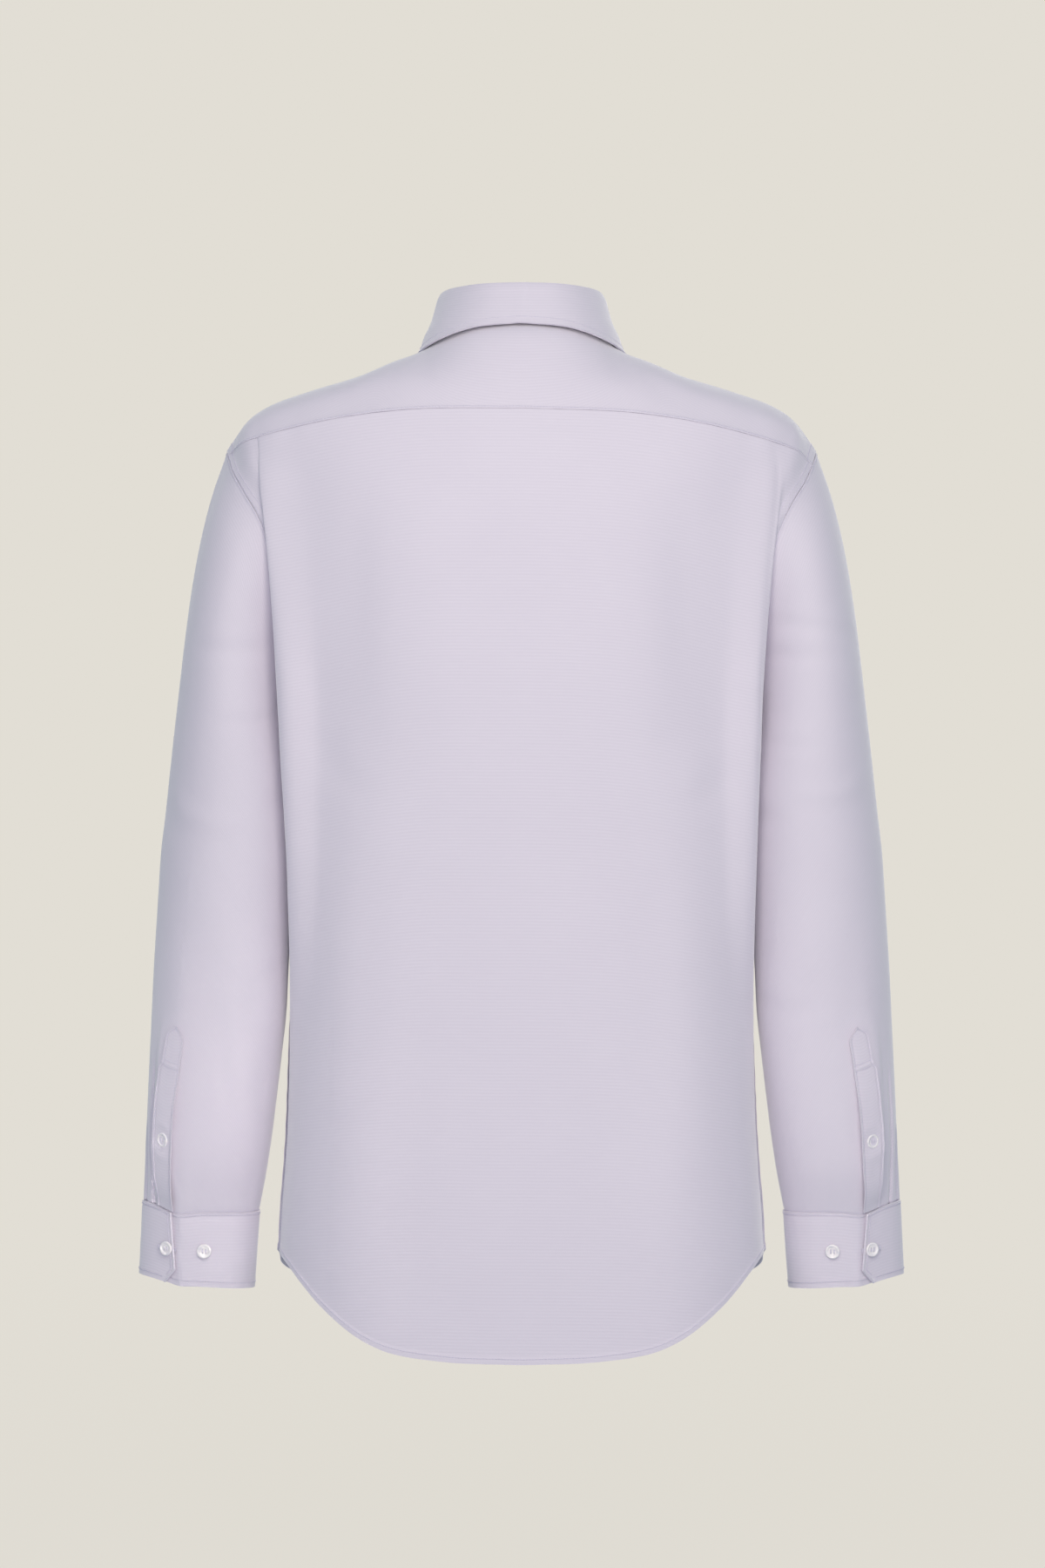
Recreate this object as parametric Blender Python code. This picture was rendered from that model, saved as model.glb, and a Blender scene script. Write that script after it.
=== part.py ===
"""A long sleeve dress shirt, filled out as if worn, with its arms hanging.

The wearer faces +Y, so the back is at -Y and the wearer's left is at -X. The origin lies
midway between the two points where the shoulder lines meet the neck. Tables are in
millimetres and describe one half of the shirt; the other half is its mirror image.
"""
import math

import bpy
import numpy as np
from mathutils import Vector

MM = 0.001

# Cloth and seams
CLOTH = 1.2
CUFF_CLOTH = 2.2
STAND_CLOTH = 2.0
LEAF_CLOTH = 1.8
SEAM_GAP = 0.3
LAYER_GAP = 0.5

# Driving sizes
ARMPIT_Z = -262.0
CREASE = 0.8              # share of a half section that lies inside the crease by the arm
NECK_CORNER = 0.4         # share of the yoke's front edge that is neck seam
YOKE_TILT = 0.02          # the yoke seam sits a little lower on the wearer's right
BAND_WIDTH = 32.0
BUTTON_RADIUS = 5.6
BUTTON_THICKNESS = 2.4
CUFF_TOP_Z = -666.0
CUFF_HEIGHT = 57.0
CUFF_CORNER = 12.0
FRONT_BUTTONS = 6
FRONT_BUTTON_TOP_Z = -135.0
FRONT_BUTTON_PITCH = 90.0
ARM_TURN = 0.12           # how far a sleeve's outer side lies forward of its inner side
PLACKET_TURN = {"left": 0.0, "right": -9.0}    # degrees towards the outside
PLACKET_BUTTON_Z = -613.0

# How the pieces meet
SIDE_INSET = SEAM_GAP / 2 + 0.1
BAND_TOP_INSET = 1.6
PLACKET_LIFT = CLOTH + LAYER_GAP
CAP_END_Z = -300.0        # where the sleeve's cap has become a plain tube
FRONT_SHARE = 2 * NECK_CORNER    # the collar's share at the middle of the front
BUTTON_SEAT = BUTTON_THICKNESS / 2 + 0.3

# The cuff: its outer end in degrees, what laps under it, and how its layers lie
CUFF_END = {"top": 26.0, "bottom": 15.0}
CUFF_OVERLAP = 31.0
CUFF_TURN_SHARE = 0.7     # how far a cuff follows its placket's turn
CUFF_DEGREE = 0.75        # millimetres to a degree round the cuff
CUFF_LAYERS = 2.9
CUFF_SHARES = (0.0, 0.28, 0.56, 0.78, 1.0)
CUFF_BUTTON_SHARE = 0.515
CUFF_BUTTONS = {"fastened": 30.5, "free": 349.2}    # degrees round the cuff

# The collar: the stand's ends and the leaf's fold over it
STAND_INSET = 1.2
STAND_END_SHARE = 0.755
FOLD_REACH = 1.5
FOLD_OUT = 3.1
FOLD_CROWN = 1.2
LEAF_STEPS = (0.0, 0.2, 0.4, 0.6, 0.8, 1.0)
LEAF_END_X = 4.0

# How finely the walls are divided
NECK_COLUMNS = 7
SHOULDER_COLUMNS = 3
ARMHOLE_ROWS = 9
BODY_ROWS = 15
YOKE_ROWS = 3
SLEEVE_CAP_ROWS = 8
SLEEVE_ROWS = 12
CUFF_COLUMNS = 34
BUTTON_SIDES = 12


# Heights at which the sleeve placket is cut
PLACKET_HEIGHTS = (-525, -534, -542, -560, -580, -600, -620, -640, -654, -664.5)


def table(columns, *rows):
    """A table with named columns, as a dict of arrays."""
    values = np.array(rows, float)
    return {name: values[:, i] for i, name in enumerate(columns.split())}


# Half sections of the body's back and front, by height: the middle's depth, the crease by
# the arm, how flat the cloth comes to it, and how sharply it folds there (0 is not at all)
BACK = table(
    "z middle_y crease_x crease_y flat fold",
    (-770, -117, 186.6, -18, 0.0, 1.0),
    (-700, -117, 185.6, -20, 0.0, 1.0),
    (-655, -116, 183.0, -22, 0.0, 1.0),
    (-615, -115, 180.2, -24, 0.01, 1.0),
    (-575, -114, 178.6, -28, 0.03, 1.0),
    (-520, -113, 177.2, -36, 0.08, 1.0),
    (-475, -113, 176.6, -48, 0.13, 1.0),
    (-420, -113, 177.4, -57, 0.19, 1.0),
    (-330, -116, 179.6, -64, 0.26, 1.0),
    (-265, -119, 181.6, -68, 0.29, 1.0),
    (-200, -120, 186.0, -72, 0.3, 1.0),
    (-150, -118, 191.0, -71, 0.28, 1.0),
    (-122, -115, 194.4, -68.4, 0.24, 0.7),
    (-100, -111.5, 196.8, -65.5, 0.2, 0.12),
    (-80, -108, 198.6, -62, 0.18, 0.0),
    (-50, -101, 200.0, -54, 0.16, 0.0),
)
FRONT = table(
    "z middle_y crease_x crease_y flat fold",
    (-770, 120, 186.6, 18, 0.0, 1.0),
    (-700, 120, 185.6, 20, 0.0, 1.0),
    (-615, 119, 180.2, 24, 0.0, 1.0),
    (-520, 118, 177.2, 34, 0.0, 1.0),
    (-475, 118, 176.2, 46, 0.03, 1.0),
    (-420, 118, 176.6, 55, 0.05, 1.0),
    (-330, 121, 178.0, 62, 0.07, 1.0),
    (-255, 124, 180.2, 66, 0.08, 1.0),
    (-100, 95, 190.0, 60, 0.06, 1.0),
)
SIDE = table(
    "z x y",
    (-770, 187.6, 0),
    (-690, 187.0, 0),
    (-615, 181.6, 0),
    (-520, 177.6, 0),
    (-475, 175.0, 0),
    (-440, 171.5, 0),
    (-394, 167.0, 0),
    (-330, 163.0, 0),
    (-292, 164.5, 0),
    (-276, 167.5, 0),
    (-268, 171.5, 0),
    (-262, 178.5, 0),
)
# The armhole seam, from the top of the shoulder down the back and up the front
ARMHOLE = table(
    "x y z",
    (225.4, -6, -86),
    (222.5, -24, -93),
    (218.0, -39, -104),
    (209.5, -52, -119),
    (199.0, -60, -136),
    (190.5, -61, -158),
    (183.5, -55, -184),
    (179.0, -43, -214),
    (177.2, -24, -243),
    (178.5, 0, ARMPIT_Z),
    (177.2, 24, -243),
    (178.8, 42, -214),
    (183.0, 53, -184),
    (189.5, 57, -158),
    (197.5, 56, -136),
    (206.5, 51, -118),
    (216.0, 37, -103),
    (222.5, 17, -92),
)
ARMPIT_ROW = 9
# The yoke's back seam, by its half width
YOKE_SEAM = table(
    "share z",
    (0.0, -61.0),
    (0.3, -62.5),
    (0.5, -68.0),
    (0.6, -72.0),
    (0.7, -77.0),
    (0.8, -82.5),
    (0.9, -88.5),
    (1.0, -94.0),
)
# The yoke over the shoulder: its ridge line, and its front edge, along the neck to the corner
RIDGE = table(
    "share x y z level",
    (0.0, 0, -83.0, -3.0, 0),
    (0.1, 27, -79.5, -3.5, 0),
    (0.2, 50, -66.5, -5.2, 0.1),
    (0.28, 65, -47.5, -7.0, 0.3),
    (0.34, 72, -28.0, -8.2, 0.7),
    (0.4, 79, -13.0, -12.8, 1),
    (0.5, 105, -12.0, -25.0, 1),
    (0.6, 136, -12.0, -33.6, 1),
    (0.7, 165, -12.0, -42.4, 1),
    (0.8, 191, -12.0, -51.6, 1),
    (0.9, 211, -10.0, -66.0, 1),
    (1.0, 225.4, -6.0, -86.0, 1),
)
YOKE_FRONT = table(
    "share x y z",
    (0.0, 0.0, -66.5, 8.5),
    (0.1, 25.0, -61.5, 8.2),
    (0.2, 45.0, -46.0, 7.0),
    (0.28, 57.0, -25.0, 5.4),
    (0.34, 62.5, -4.0, 3.0),
    (0.4, 63.5, 16.0, -4.0),
    (0.5, 94.0, 25.0, -25.2),
    (0.6, 127.0, 28.0, -35.8),
    (0.7, 158.0, 29.0, -46.1),
    (0.8, 185.0, 28.0, -57.6),
    (0.9, 206.0, 24.0, -74.0),
    (1.0, 222.5, 17.0, -92.0),
)
# The fronts' top edge, from the middle along the neck, and the way the cloth leaves it
FRONT_TOP = table(
    "share x y z way_x way_y way_z",
    (0.0, 0.0, 60.0, -56.5, 0.0, 0.66, -0.75),
    (0.1, 20.0, 56.5, -52.5, 0.08, 0.66, -0.74),
    (0.2, 40.0, 47.0, -41.0, 0.2, 0.68, -0.69),
    (0.3, 56.0, 33.0, -23.0, 0.3, 0.72, -0.62),
    (0.4, 63.5, 16.0, -4.0, 0.3, 0.78, -0.55),
    (0.5, 94.0, 25.0, -25.2, 0.14, 0.8, -0.58),
    (0.6, 127.0, 28.0, -35.8, 0.05, 0.8, -0.6),
    (0.7, 158.0, 29.0, -46.1, 0.0, 0.78, -0.62),
    (0.8, 185.0, 28.0, -57.6, 0.0, 0.75, -0.66),
    (0.9, 206.0, 24.0, -74.0, 0.0, 0.7, -0.7),
    (1.0, 222.5, 17.0, -92.0, -0.05, 0.62, -0.78),
)
BACK_HEM = table(
    "share z",
    (0.0, -769.5),
    (0.22, -767.0),
    (0.36, -759.5),
    (0.43, -750.0),
    (0.5, -737.5),
    (0.56, -724.0),
    (0.62, -711.5),
    (0.68, -702.5),
    (0.73, -697.5),
    (0.84, -697.5),
    (1.0, -698.0),
)
FRONT_HEM = table(
    "share z",
    (0.0, -752.0),
    (0.25, -750.0),
    (0.45, -741.0),
    (0.62, -727.0),
    (0.75, -713.0),
    (0.87, -703.0),
    (1.0, -698.0),
)
# Sleeve rings by height: outer and inner reach, middle and half depth, and the cuff-side tilt
SLEEVE = table(
    "z outer inner middle_y half_depth tilt",
    (-666, 292.0, 206.0, 14, 35.0, 0.11),
    (-655, 291.0, 203.8, 13, 41.0, 0.10),
    (-635, 290.0, 200.3, 12, 46.0, 0.09),
    (-595, 288.8, 194.5, 9, 51.0, 0.07),
    (-555, 286.8, 189.6, 7, 54.0, 0.05),
    (-515, 284.8, 184.6, 5, 56.0, 0.04),
    (-475, 282.7, 182.2, 3, 58.0, 0.03),
    (-434, 280.0, 179.8, 2, 60.0, 0.02),
    (-394, 277.4, 177.0, 1, 62.0, 0.01),
    (-354, 272.7, 176.6, 0, 63.0, 0.0),
    (-300, 266.8, 181.0, -1, 63.5, 0.0),
    (-270, 262.6, 185.0, -1, 63.5, 0.0),
)
CUFF = table(
    "share outer inner middle_y half_depth tilt",
    (0.0, 292.6, 205.6, 14, 34.6, 0.11),
    (1.0, 295.4, 209.4, 17, 34.0, 0.12),
)
# Top edge of the collar stand, from the middle of the back (0) round to the front (0.8)
STAND_TOP = table(
    "share x y z",
    (0.0, 0.0, -63.0, 33.0),
    (0.1, 24.0, -58.0, 33.0),
    (0.2, 43.5, -43.0, 32.6),
    (0.28, 55.5, -23.0, 32.2),
    (0.34, 60.5, -3.0, 30.5),
    (0.4, 61.0, 15.0, 24.0),
    (0.5, 53.5, 32.0, 7.0),
    (0.6, 38.5, 46.0, -11.0),
    (0.7, 19.0, 55.0, -22.5),
    (0.8, 0.0, 58.0, -26.5),
)
# Collar leaf's lower edge, from the middle of the back round to the collar point
LEAF_EDGE = table(
    "share x y z",
    (0.0, 0.0, -79.0, 6.4),
    (0.12, 34.0, -76.0, 3.8),
    (0.21, 53.5, -67.5, -0.8),
    (0.3, 67.5, -52.0, -4.8),
    (0.37, 75.5, -30.5, -7.2),
    (0.43, 79.3, -9.0, -8.0),
    (0.51, 81.5, 17.0, -8.6),
    (0.6, 80.5, 45.0, -24.0),
    (0.7, 70.5, 71.0, -52.0),
    (0.8, 50.0, 91.0, -84.0),
)
PLACKET = table(
    "z turn half_width",
    (-668, 36.0, 9.5),
    (-640, 36.5, 9.6),
    (-606, 37.0, 9.8),
    (-570, 36.0, 9.6),
    (-542, 34.0, 9.6),
    (-534, 33.0, 9.6),
    (-525, 32.0, 0.6),
)
# How far the walls' edges are drawn in at the armhole seam, which is sharper lower down
ARMHOLE_INSET = table(
    "z inset",
    (ARMPIT_Z, 2.7),
    (-232, 2.6),
    (-210, 2.3),
    (-184, 1.9),
    (-158, 1.5),
    (-136, 0.9),
    (-90, 0.5),
)


def smooth(xs, ys, at):
    """A smooth curve through the points (xs, ys) that never overshoots them, read at `at`."""
    order = np.argsort(xs)
    xs, ys = np.asarray(xs, float)[order], np.asarray(ys, float)[order]
    steps = np.diff(xs)
    slopes = np.diff(ys) / steps
    inner = (steps[1:] * slopes[:-1] + steps[:-1] * slopes[1:]) / (steps[1:] + steps[:-1])
    limit = 3.0 * np.minimum(np.abs(slopes[:-1]), np.abs(slopes[1:]))
    inner = np.where(slopes[:-1] * slopes[1:] > 0, np.clip(inner, -limit, limit), 0.0)
    tangents = np.concatenate([slopes[:1], inner, slopes[-1:]])
    at = np.clip(np.asarray(at, float), xs[0], xs[-1])
    i = np.clip(np.searchsorted(xs, at) - 1, 0, len(steps) - 1)
    t = (at - xs[i]) / steps[i]
    return hermite(t, ys[i], tangents[i] * steps[i], ys[i + 1], tangents[i + 1] * steps[i])


def hermite(t, start, start_way, end, end_way):
    """The cubic that leaves `start` along `start_way` and reaches `end` along `end_way`."""
    return (
        (2 * t**3 - 3 * t**2 + 1) * start
        + (t**3 - 2 * t**2 + t) * start_way
        + (3 * t**2 - 2 * t**3) * end
        + (t**3 - t**2) * end_way
    )


def read(rows, key, columns, at):
    """The named columns of a table at one value of its key column, as one vector."""
    return np.array([smooth(rows[key], rows[name], at) for name in columns.split()])


def unit(vector):
    return vector / max(np.linalg.norm(vector), 1e-9)


def catmull(points, count):
    """A smooth open curve through the points, as `count` points evenly spaced along it."""
    points = np.asarray(points, float)
    padded = np.vstack([2 * points[0] - points[1], points, 2 * points[-1] - points[-2]])
    fine = []
    for i in range(len(points) - 1):
        before, start, end, after = padded[i:i + 4]
        for t in np.linspace(0, 1, 24, endpoint=False):
            fine.append(hermite(t, start, (end - before) / 2, end, (after - start) / 2))
    fine = np.array(fine + [points[-1]])
    return evenly(fine, np.linspace(0, 1, count))


def evenly(line, shares):
    """Points at these shares of a polyline's length."""
    lengths = np.linalg.norm(np.diff(line, axis=0), axis=1)
    along = np.concatenate([[0], np.cumsum(lengths)])
    along /= along[-1]
    return np.stack([np.interp(shares, along, line[:, k]) for k in range(line.shape[1])], -1)


def armhole_half(face):
    """The armhole seam from the yoke's top down one face to the armpit, finely."""
    loop = np.stack([ARMHOLE["x"], ARMHOLE["y"], ARMHOLE["z"]], -1)
    top = np.array([[RIDGE["x"][-1], RIDGE["y"][-1], RIDGE["z"][-1]]])
    if face == "back":
        return catmull(loop[:ARMPIT_ROW + 1], 400)
    return catmull(np.vstack([top, loop[:ARMPIT_ROW - 1:-1]]), 400)


HALF_SEAMS = {face: armhole_half(face) for face in ("back", "front")}


def section_end(face, z):
    """Where a half section ends: on the armhole seam, or below it on the side seam."""
    if z <= ARMPIT_Z:
        return read(SIDE, "z", "x y", z)
    seam = HALF_SEAMS[face][::-1]
    return np.array([np.interp(z, seam[:, 2], seam[:, 0]), np.interp(z, seam[:, 2], seam[:, 1])])


def section(face, share, z):
    """A point of the body's back or front at height z, from the middle (0) to the side (1)."""
    rows = BACK if face == "back" else FRONT
    middle_y, crease_x, crease_y, flat, fold = read(rows, "z", "middle_y crease_x crease_y flat fold", z)
    t = np.linspace(0, 1, 61)[:, None]
    depth = middle_y - crease_y
    bow = np.array([crease_x * (1 - flat), crease_y + (0.62 - 1.2 * flat) * depth])
    if share <= CREASE:
        first, last = np.array([0, middle_y]), np.array([crease_x, crease_y])
        handles = np.array([0.66 * crease_x, middle_y]), bow
        part = share / CREASE
    else:
        first, last = np.array([crease_x, crease_y]), section_end(face, z)
        reach = np.linalg.norm(last - first) / 3
        folded = np.array([0, -np.sign(middle_y)])
        way = unit(fold * folded + (1 - fold) * unit(first - bow))
        handles = first + way * reach, last - (last - first) / 3
        part = (share - CREASE) / (1 - CREASE)
    line = bezier(t, first, *handles, last)
    x, y = evenly(line, np.array([part]))[0]
    return np.array([x, y, z])


def bezier(t, first, handle_one, handle_two, last):
    return (
        (1 - t) ** 3 * first
        + 3 * (1 - t) ** 2 * t * handle_one
        + 3 * (1 - t) * t**2 * handle_two
        + t**3 * last
    )


def mirrored(point, side):
    """The point on the wearer's left (-1) or right (+1)."""
    return np.array([point[0] * side, point[1], point[2]])


def yoke_seam_z(share):
    """Height of the yoke's back seam; the share is negative on the wearer's left."""
    width = abs(share)
    return float(smooth(YOKE_SEAM["share"], YOKE_SEAM["z"], width)) - YOKE_TILT * 200 * share


def armhole_rows(face, top_z):
    """Heights of the armhole's rows, evenly spaced along the seam from top_z to the armpit."""
    seam = HALF_SEAMS[face]
    below = seam[seam[:, 2] <= top_z]
    return evenly(below, np.linspace(0, 1, ARMHOLE_ROWS + 1))[:, 2]


def row_heights(top_z, edge_z, hem_z, share):
    """Heights down one column: over the armhole, then from the armpit to the hem."""
    even = np.linspace(0, 1, ARMHOLE_ROWS + 1)
    at_edge = (edge_z - edge_z[0]) / (edge_z[-1] - edge_z[0])
    mix = share**4
    upper = top_z + (ARMPIT_Z - top_z) * ((1 - mix) * even + mix * at_edge)
    lower = ARMPIT_Z + (hem_z - ARMPIT_Z) * np.linspace(0, 1, BODY_ROWS + 1) ** 1.08
    return np.concatenate([upper, lower[1:]])


def half_shares():
    """Shares from the middle to the side, with one at the neck corner and the crease."""
    neck = np.linspace(0, NECK_CORNER, NECK_COLUMNS + 1)
    shoulder = np.linspace(NECK_CORNER, CREASE, SHOULDER_COLUMNS + 1)[1:]
    beyond = CREASE + (1 - CREASE) * np.array([0.2, 0.45, 0.72, 1.0])
    return np.concatenate([neck, shoulder, beyond])


def both_sides(half):
    """The shares of both halves, negative on the wearer's left."""
    return np.concatenate([-half[:0:-1], half])


def back_grid():
    """The back's middle surface, rows from the yoke seam to the hem, left to right."""
    grid = []
    for share in both_sides(half_shares()):
        width, side = abs(share), math.copysign(1, share)
        edge_z = armhole_rows("back", yoke_seam_z(side))
        hem_z = float(smooth(BACK_HEM["share"], BACK_HEM["z"], width))
        heights = row_heights(yoke_seam_z(share), edge_z, hem_z, width)
        grid.append([mirrored(section("back", width, z), side) for z in heights])
    return np.array(grid).transpose(1, 0, 2)


def front_upper(share, t):
    """A front's surface over the armhole, from its top edge (0) to the armpit's level (1)."""
    top = read(FRONT_TOP, "share", "x y z", share)
    way = unit(read(FRONT_TOP, "share", "way_x way_y way_z", share))
    low = section("front", share, ARMPIT_Z)
    low_way = low - section("front", share, ARMPIT_Z - 12)
    low_way[0] *= 1 - seam_share(share)
    reach = np.linalg.norm(low - top)
    return hermite(t, top, way * reach, low, -unit(low_way) * reach)


def seam_share(share):
    """How much the armhole seam leads a front's upper part, rising towards the side."""
    return float(np.clip((share - 0.7) / 0.3, 0, 1))


def front_column(share):
    """One column of a front, from its top edge to the hem, on the wearer's right."""
    edge_z = armhole_rows("front", float(YOKE_FRONT["z"][-1]))
    even = np.linspace(0, 1, ARMHOLE_ROWS + 1)
    at_edge = (edge_z - edge_z[0]) / (edge_z[-1] - edge_z[0])
    mix = share**4
    lead = seam_share(share)
    upper = []
    for k, t in enumerate((1 - mix) * even + mix * at_edge):
        point = front_upper(share, t)
        if lead and 0 < k < ARMHOLE_ROWS:
            point += lead * (section("front", 1.0, edge_z[k]) - front_upper(1.0, at_edge[k]))
        upper.append(point)
    hem_z = float(smooth(FRONT_HEM["share"], FRONT_HEM["z"], share))
    lower = ARMPIT_Z + (hem_z - ARMPIT_Z) * np.linspace(0, 1, BODY_ROWS + 1) ** 1.08
    return np.array(upper + [section("front", share, z) for z in lower[1:]])


def front_half():
    """A whole front's middle surface on the wearer's right, from the middle to the side."""
    return np.array([front_column(share) for share in half_shares()]).transpose(1, 0, 2)


def at_width(half, x):
    """The column of a front's surface at this distance from the middle."""
    return np.array([[x, np.interp(x, r[:, 0], r[:, 1]), np.interp(x, r[:, 0], r[:, 2])] for r in half])


def flipped(points):
    return points * np.array([-1.0, 1.0, 1.0])


def front_grids():
    """The fronts, from the band's edge to the side. The wearer's right one runs under it."""
    half = front_half()
    edge = at_width(half, BAND_WIDTH / 2)[:, None]
    left = flipped(np.concatenate([edge, half[:, 2:]], axis=1))
    right = np.concatenate([flipped(edge), half], axis=1)
    return {-1: left, 1: right}


def band_grid():
    half = front_half()
    reach = BAND_WIDTH / 2 - SEAM_GAP
    columns = [at_width(half, x) for x in (reach, reach / 2)]
    middle = at_width(half, 0.0)
    return np.stack([flipped(columns[0]), flipped(columns[1]), middle, columns[1], columns[0]], axis=1)


def yoke_column(share):
    """One line of the yoke, from its back seam over the shoulder to its front edge."""
    width, side = abs(share), math.copysign(1, share)
    seam_z = yoke_seam_z(share)
    start = section("back", width, seam_z)
    start_way = unit(section("back", width, seam_z + 6) - section("back", width, seam_z - 6))
    ridge = read(RIDGE, "share", "x y z", width)
    end = read(YOKE_FRONT, "share", "x y z", width)
    across = end - start
    across[2] *= 1 - float(smooth(RIDGE["share"], RIDGE["level"], width))
    ridge_way = unit(across)
    if width >= NECK_CORNER:
        end_way = unit(read(FRONT_TOP, "share", "way_x way_y way_z", width))
    else:
        end_way = unit(end - ridge)
    points = []
    for first, way_out, last, way_in in (
        (start, start_way, ridge, ridge_way),
        (ridge, ridge_way, end, end_way),
    ):
        reach = np.linalg.norm(last - first)
        for t in np.linspace(0, 1, YOKE_ROWS, endpoint=False):
            points.append(hermite(t, first, way_out * reach, last, way_in * reach))
    return np.array([mirrored(p, side) for p in points + [end]])


def yoke_grid():
    shares = both_sides(half_shares())
    return np.array([yoke_column(share) for share in shares]).transpose(1, 0, 2)[::-1]


def sleeve_ring(angle, z):
    """A point of a hanging sleeve: the angle runs from its outside (0) round the back."""
    outer, inner, middle_y, half_depth, tilt = read(
        SLEEVE, "z", "outer inner middle_y half_depth tilt", z
    )
    return ring_point(angle, z, outer, inner, middle_y, half_depth, tilt)


def ring_point(angle, z, outer, inner, middle_y, half_depth, tilt):
    across = (outer - inner) / 2 * math.cos(angle)
    x = (outer + inner) / 2 + across
    y = middle_y - half_depth * math.sin(angle) + ARM_TURN * across
    return np.array([x, y, z + tilt * across])


def armhole_loop(back, yoke, front, side):
    """The armhole's points, from the ridge down the back to the armpit and up the front."""
    column = -1 if side > 0 else 0
    over = yoke[::-1, column]
    down = back[:ARMHOLE_ROWS + 1, column]
    up = front[:ARMHOLE_ROWS + 1, -1][::-1]
    loop = [over[k] for k in range(YOKE_ROWS, 0, -1)] + list(down) + list(up[1:])
    loop += [over[k] for k in range(len(over) - 2, YOKE_ROWS, -1)]
    return np.array([mirrored(p, side) for p in loop])


def sleeve_grid(loop):
    """A sleeve's middle surface on the wearer's right, from the armhole seam to the cuff."""
    lengths = np.linalg.norm(np.diff(np.vstack([loop, loop[:1]]), axis=0), axis=1)
    armpit = YOKE_ROWS + ARMHOLE_ROWS
    along = np.concatenate([[0], np.cumsum(lengths)])
    half = along[armpit]
    columns = []
    for i, start in enumerate(loop):
        if i <= armpit:
            angle = math.pi * along[i] / half
        else:
            angle = math.pi * (1 + (along[i] - half) / (along[-1] - half))
        columns.append(sleeve_column(start, angle))
    return np.array(columns).transpose(1, 0, 2)


def sleeve_column(start, angle):
    """One line down a sleeve, leaving the armhole seam outwards and turning down."""
    end = sleeve_ring(angle, CAP_END_Z)
    end_way = unit(sleeve_ring(angle, CAP_END_Z - 10) - end)
    top_share = (1 + math.cos(angle)) / 2
    back_share = math.sin(angle)
    way = unit(np.array([
        0.95 - 0.59 * top_share,
        -0.3 * back_share,
        -0.3 - 0.55 * top_share,
    ]))
    reach = np.linalg.norm(end - start)
    start_reach = reach * (0.35 + 0.6 * top_share)
    shares = np.linspace(0, 1, SLEEVE_CAP_ROWS, endpoint=False) ** 0.95
    cap = [hermite(t, start, way * start_reach, end, end_way * reach) for t in shares]
    heights = CAP_END_Z + (CUFF_TOP_Z - CAP_END_Z) * np.linspace(0, 1, SLEEVE_ROWS + 1)
    return np.array(cap + [sleeve_ring(angle, z) for z in heights])


def cuff_ring(turn, share):
    """A point of the cuff: turn in degrees from straight back towards the outside."""
    outer, inner, middle_y, half_depth, tilt = read(
        CUFF, "share", "outer inner middle_y half_depth tilt", share
    )
    angle = math.radians(90 - turn)
    z = CUFF_TOP_Z - SEAM_GAP - CUFF_HEIGHT * share
    return ring_point(angle, z, outer, inner, middle_y, half_depth, tilt)


def normals(grid, closed=False):
    """Unit normals of a grid of points, from its rows and columns."""
    if closed:
        across = np.roll(grid, -1, axis=1) - np.roll(grid, 1, axis=1)
    else:
        across = np.gradient(grid, axis=1)
    down = np.gradient(grid, axis=0)
    found = np.cross(down, across)
    return found / np.maximum(np.linalg.norm(found, axis=2, keepdims=True), 1e-9)


def drawn_in(grid, top=0.0, bottom=0.0, first=0.0, last=0.0):
    """The grid with its edges drawn in by these distances, for the gaps at its seams."""
    grid = grid.copy()
    for edge, inner, distance in ((0, 1, top), (-1, -2, bottom)):
        way = grid[inner] - grid[edge]
        grid[edge] += distance * way / np.linalg.norm(way, axis=1, keepdims=True)
    for edge, inner, distance in ((0, 1, first), (-1, -2, last)):
        way = grid[:, inner] - grid[:, edge]
        grid[:, edge] += distance * way / np.linalg.norm(way, axis=1, keepdims=True)
    return grid


def wall(name, grid, thickness, material, closed=False, lift=0.0, around=None):
    """A closed wall round a grid of points, half its thickness to each side.

    With a lift, the wall is moved that far away from the line of points `around`.
    """
    rows, columns = grid.shape[:2]
    out = normals(grid, closed)
    if around is not None and np.einsum("ijk,ijk->", out, grid - around) < 0:
        out = -out
    outside = grid + out * (lift + thickness / 2)
    inside = grid + out * (lift - thickness / 2)
    points = np.vstack([outside.reshape(-1, 3), inside.reshape(-1, 3)]) * MM
    under = rows * columns
    spans = columns if closed else columns - 1

    def at(row, column):
        return row * columns + column % columns

    faces = []
    for row in range(rows - 1):
        for column in range(spans):
            a, b = at(row, column), at(row, column + 1)
            c, d = at(row + 1, column + 1), at(row + 1, column)
            faces += [(a, d, c), (a, c, b)]
            faces += [(a + under, c + under, d + under), (a + under, b + under, c + under)]
    for column in range(spans):
        for row, turned in ((0, True), (rows - 1, False)):
            faces += rim(at(row, column), at(row, column + 1), under, turned)
    if not closed:
        for row in range(rows - 1):
            faces += rim(at(row, 0), at(row + 1, 0), under, False)
            faces += rim(at(row, columns - 1), at(row + 1, columns - 1), under, True)
    return add_mesh(name, points, faces, material)


def rim(a, b, under, turned):
    """Two triangles that close a wall's edge between its outside and its inside."""
    if turned:
        return [(a, b, b + under), (a, b + under, a + under)]
    return [(b, a, a + under), (b, a + under, b + under)]


def add_mesh(name, points, faces, material):
    mesh = bpy.data.meshes.new(name)
    mesh.from_pydata([tuple(p) for p in points], [], faces)
    mesh.validate()
    mesh.update()
    if signed_volume(points, faces) < 0:
        mesh.flip_normals()
    mesh.shade_smooth()
    mesh.set_sharp_from_angle(angle=math.radians(50))
    mesh.materials.append(material)
    thing = bpy.data.objects.new(name, mesh)
    bpy.context.scene.collection.objects.link(thing)
    return thing


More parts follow.
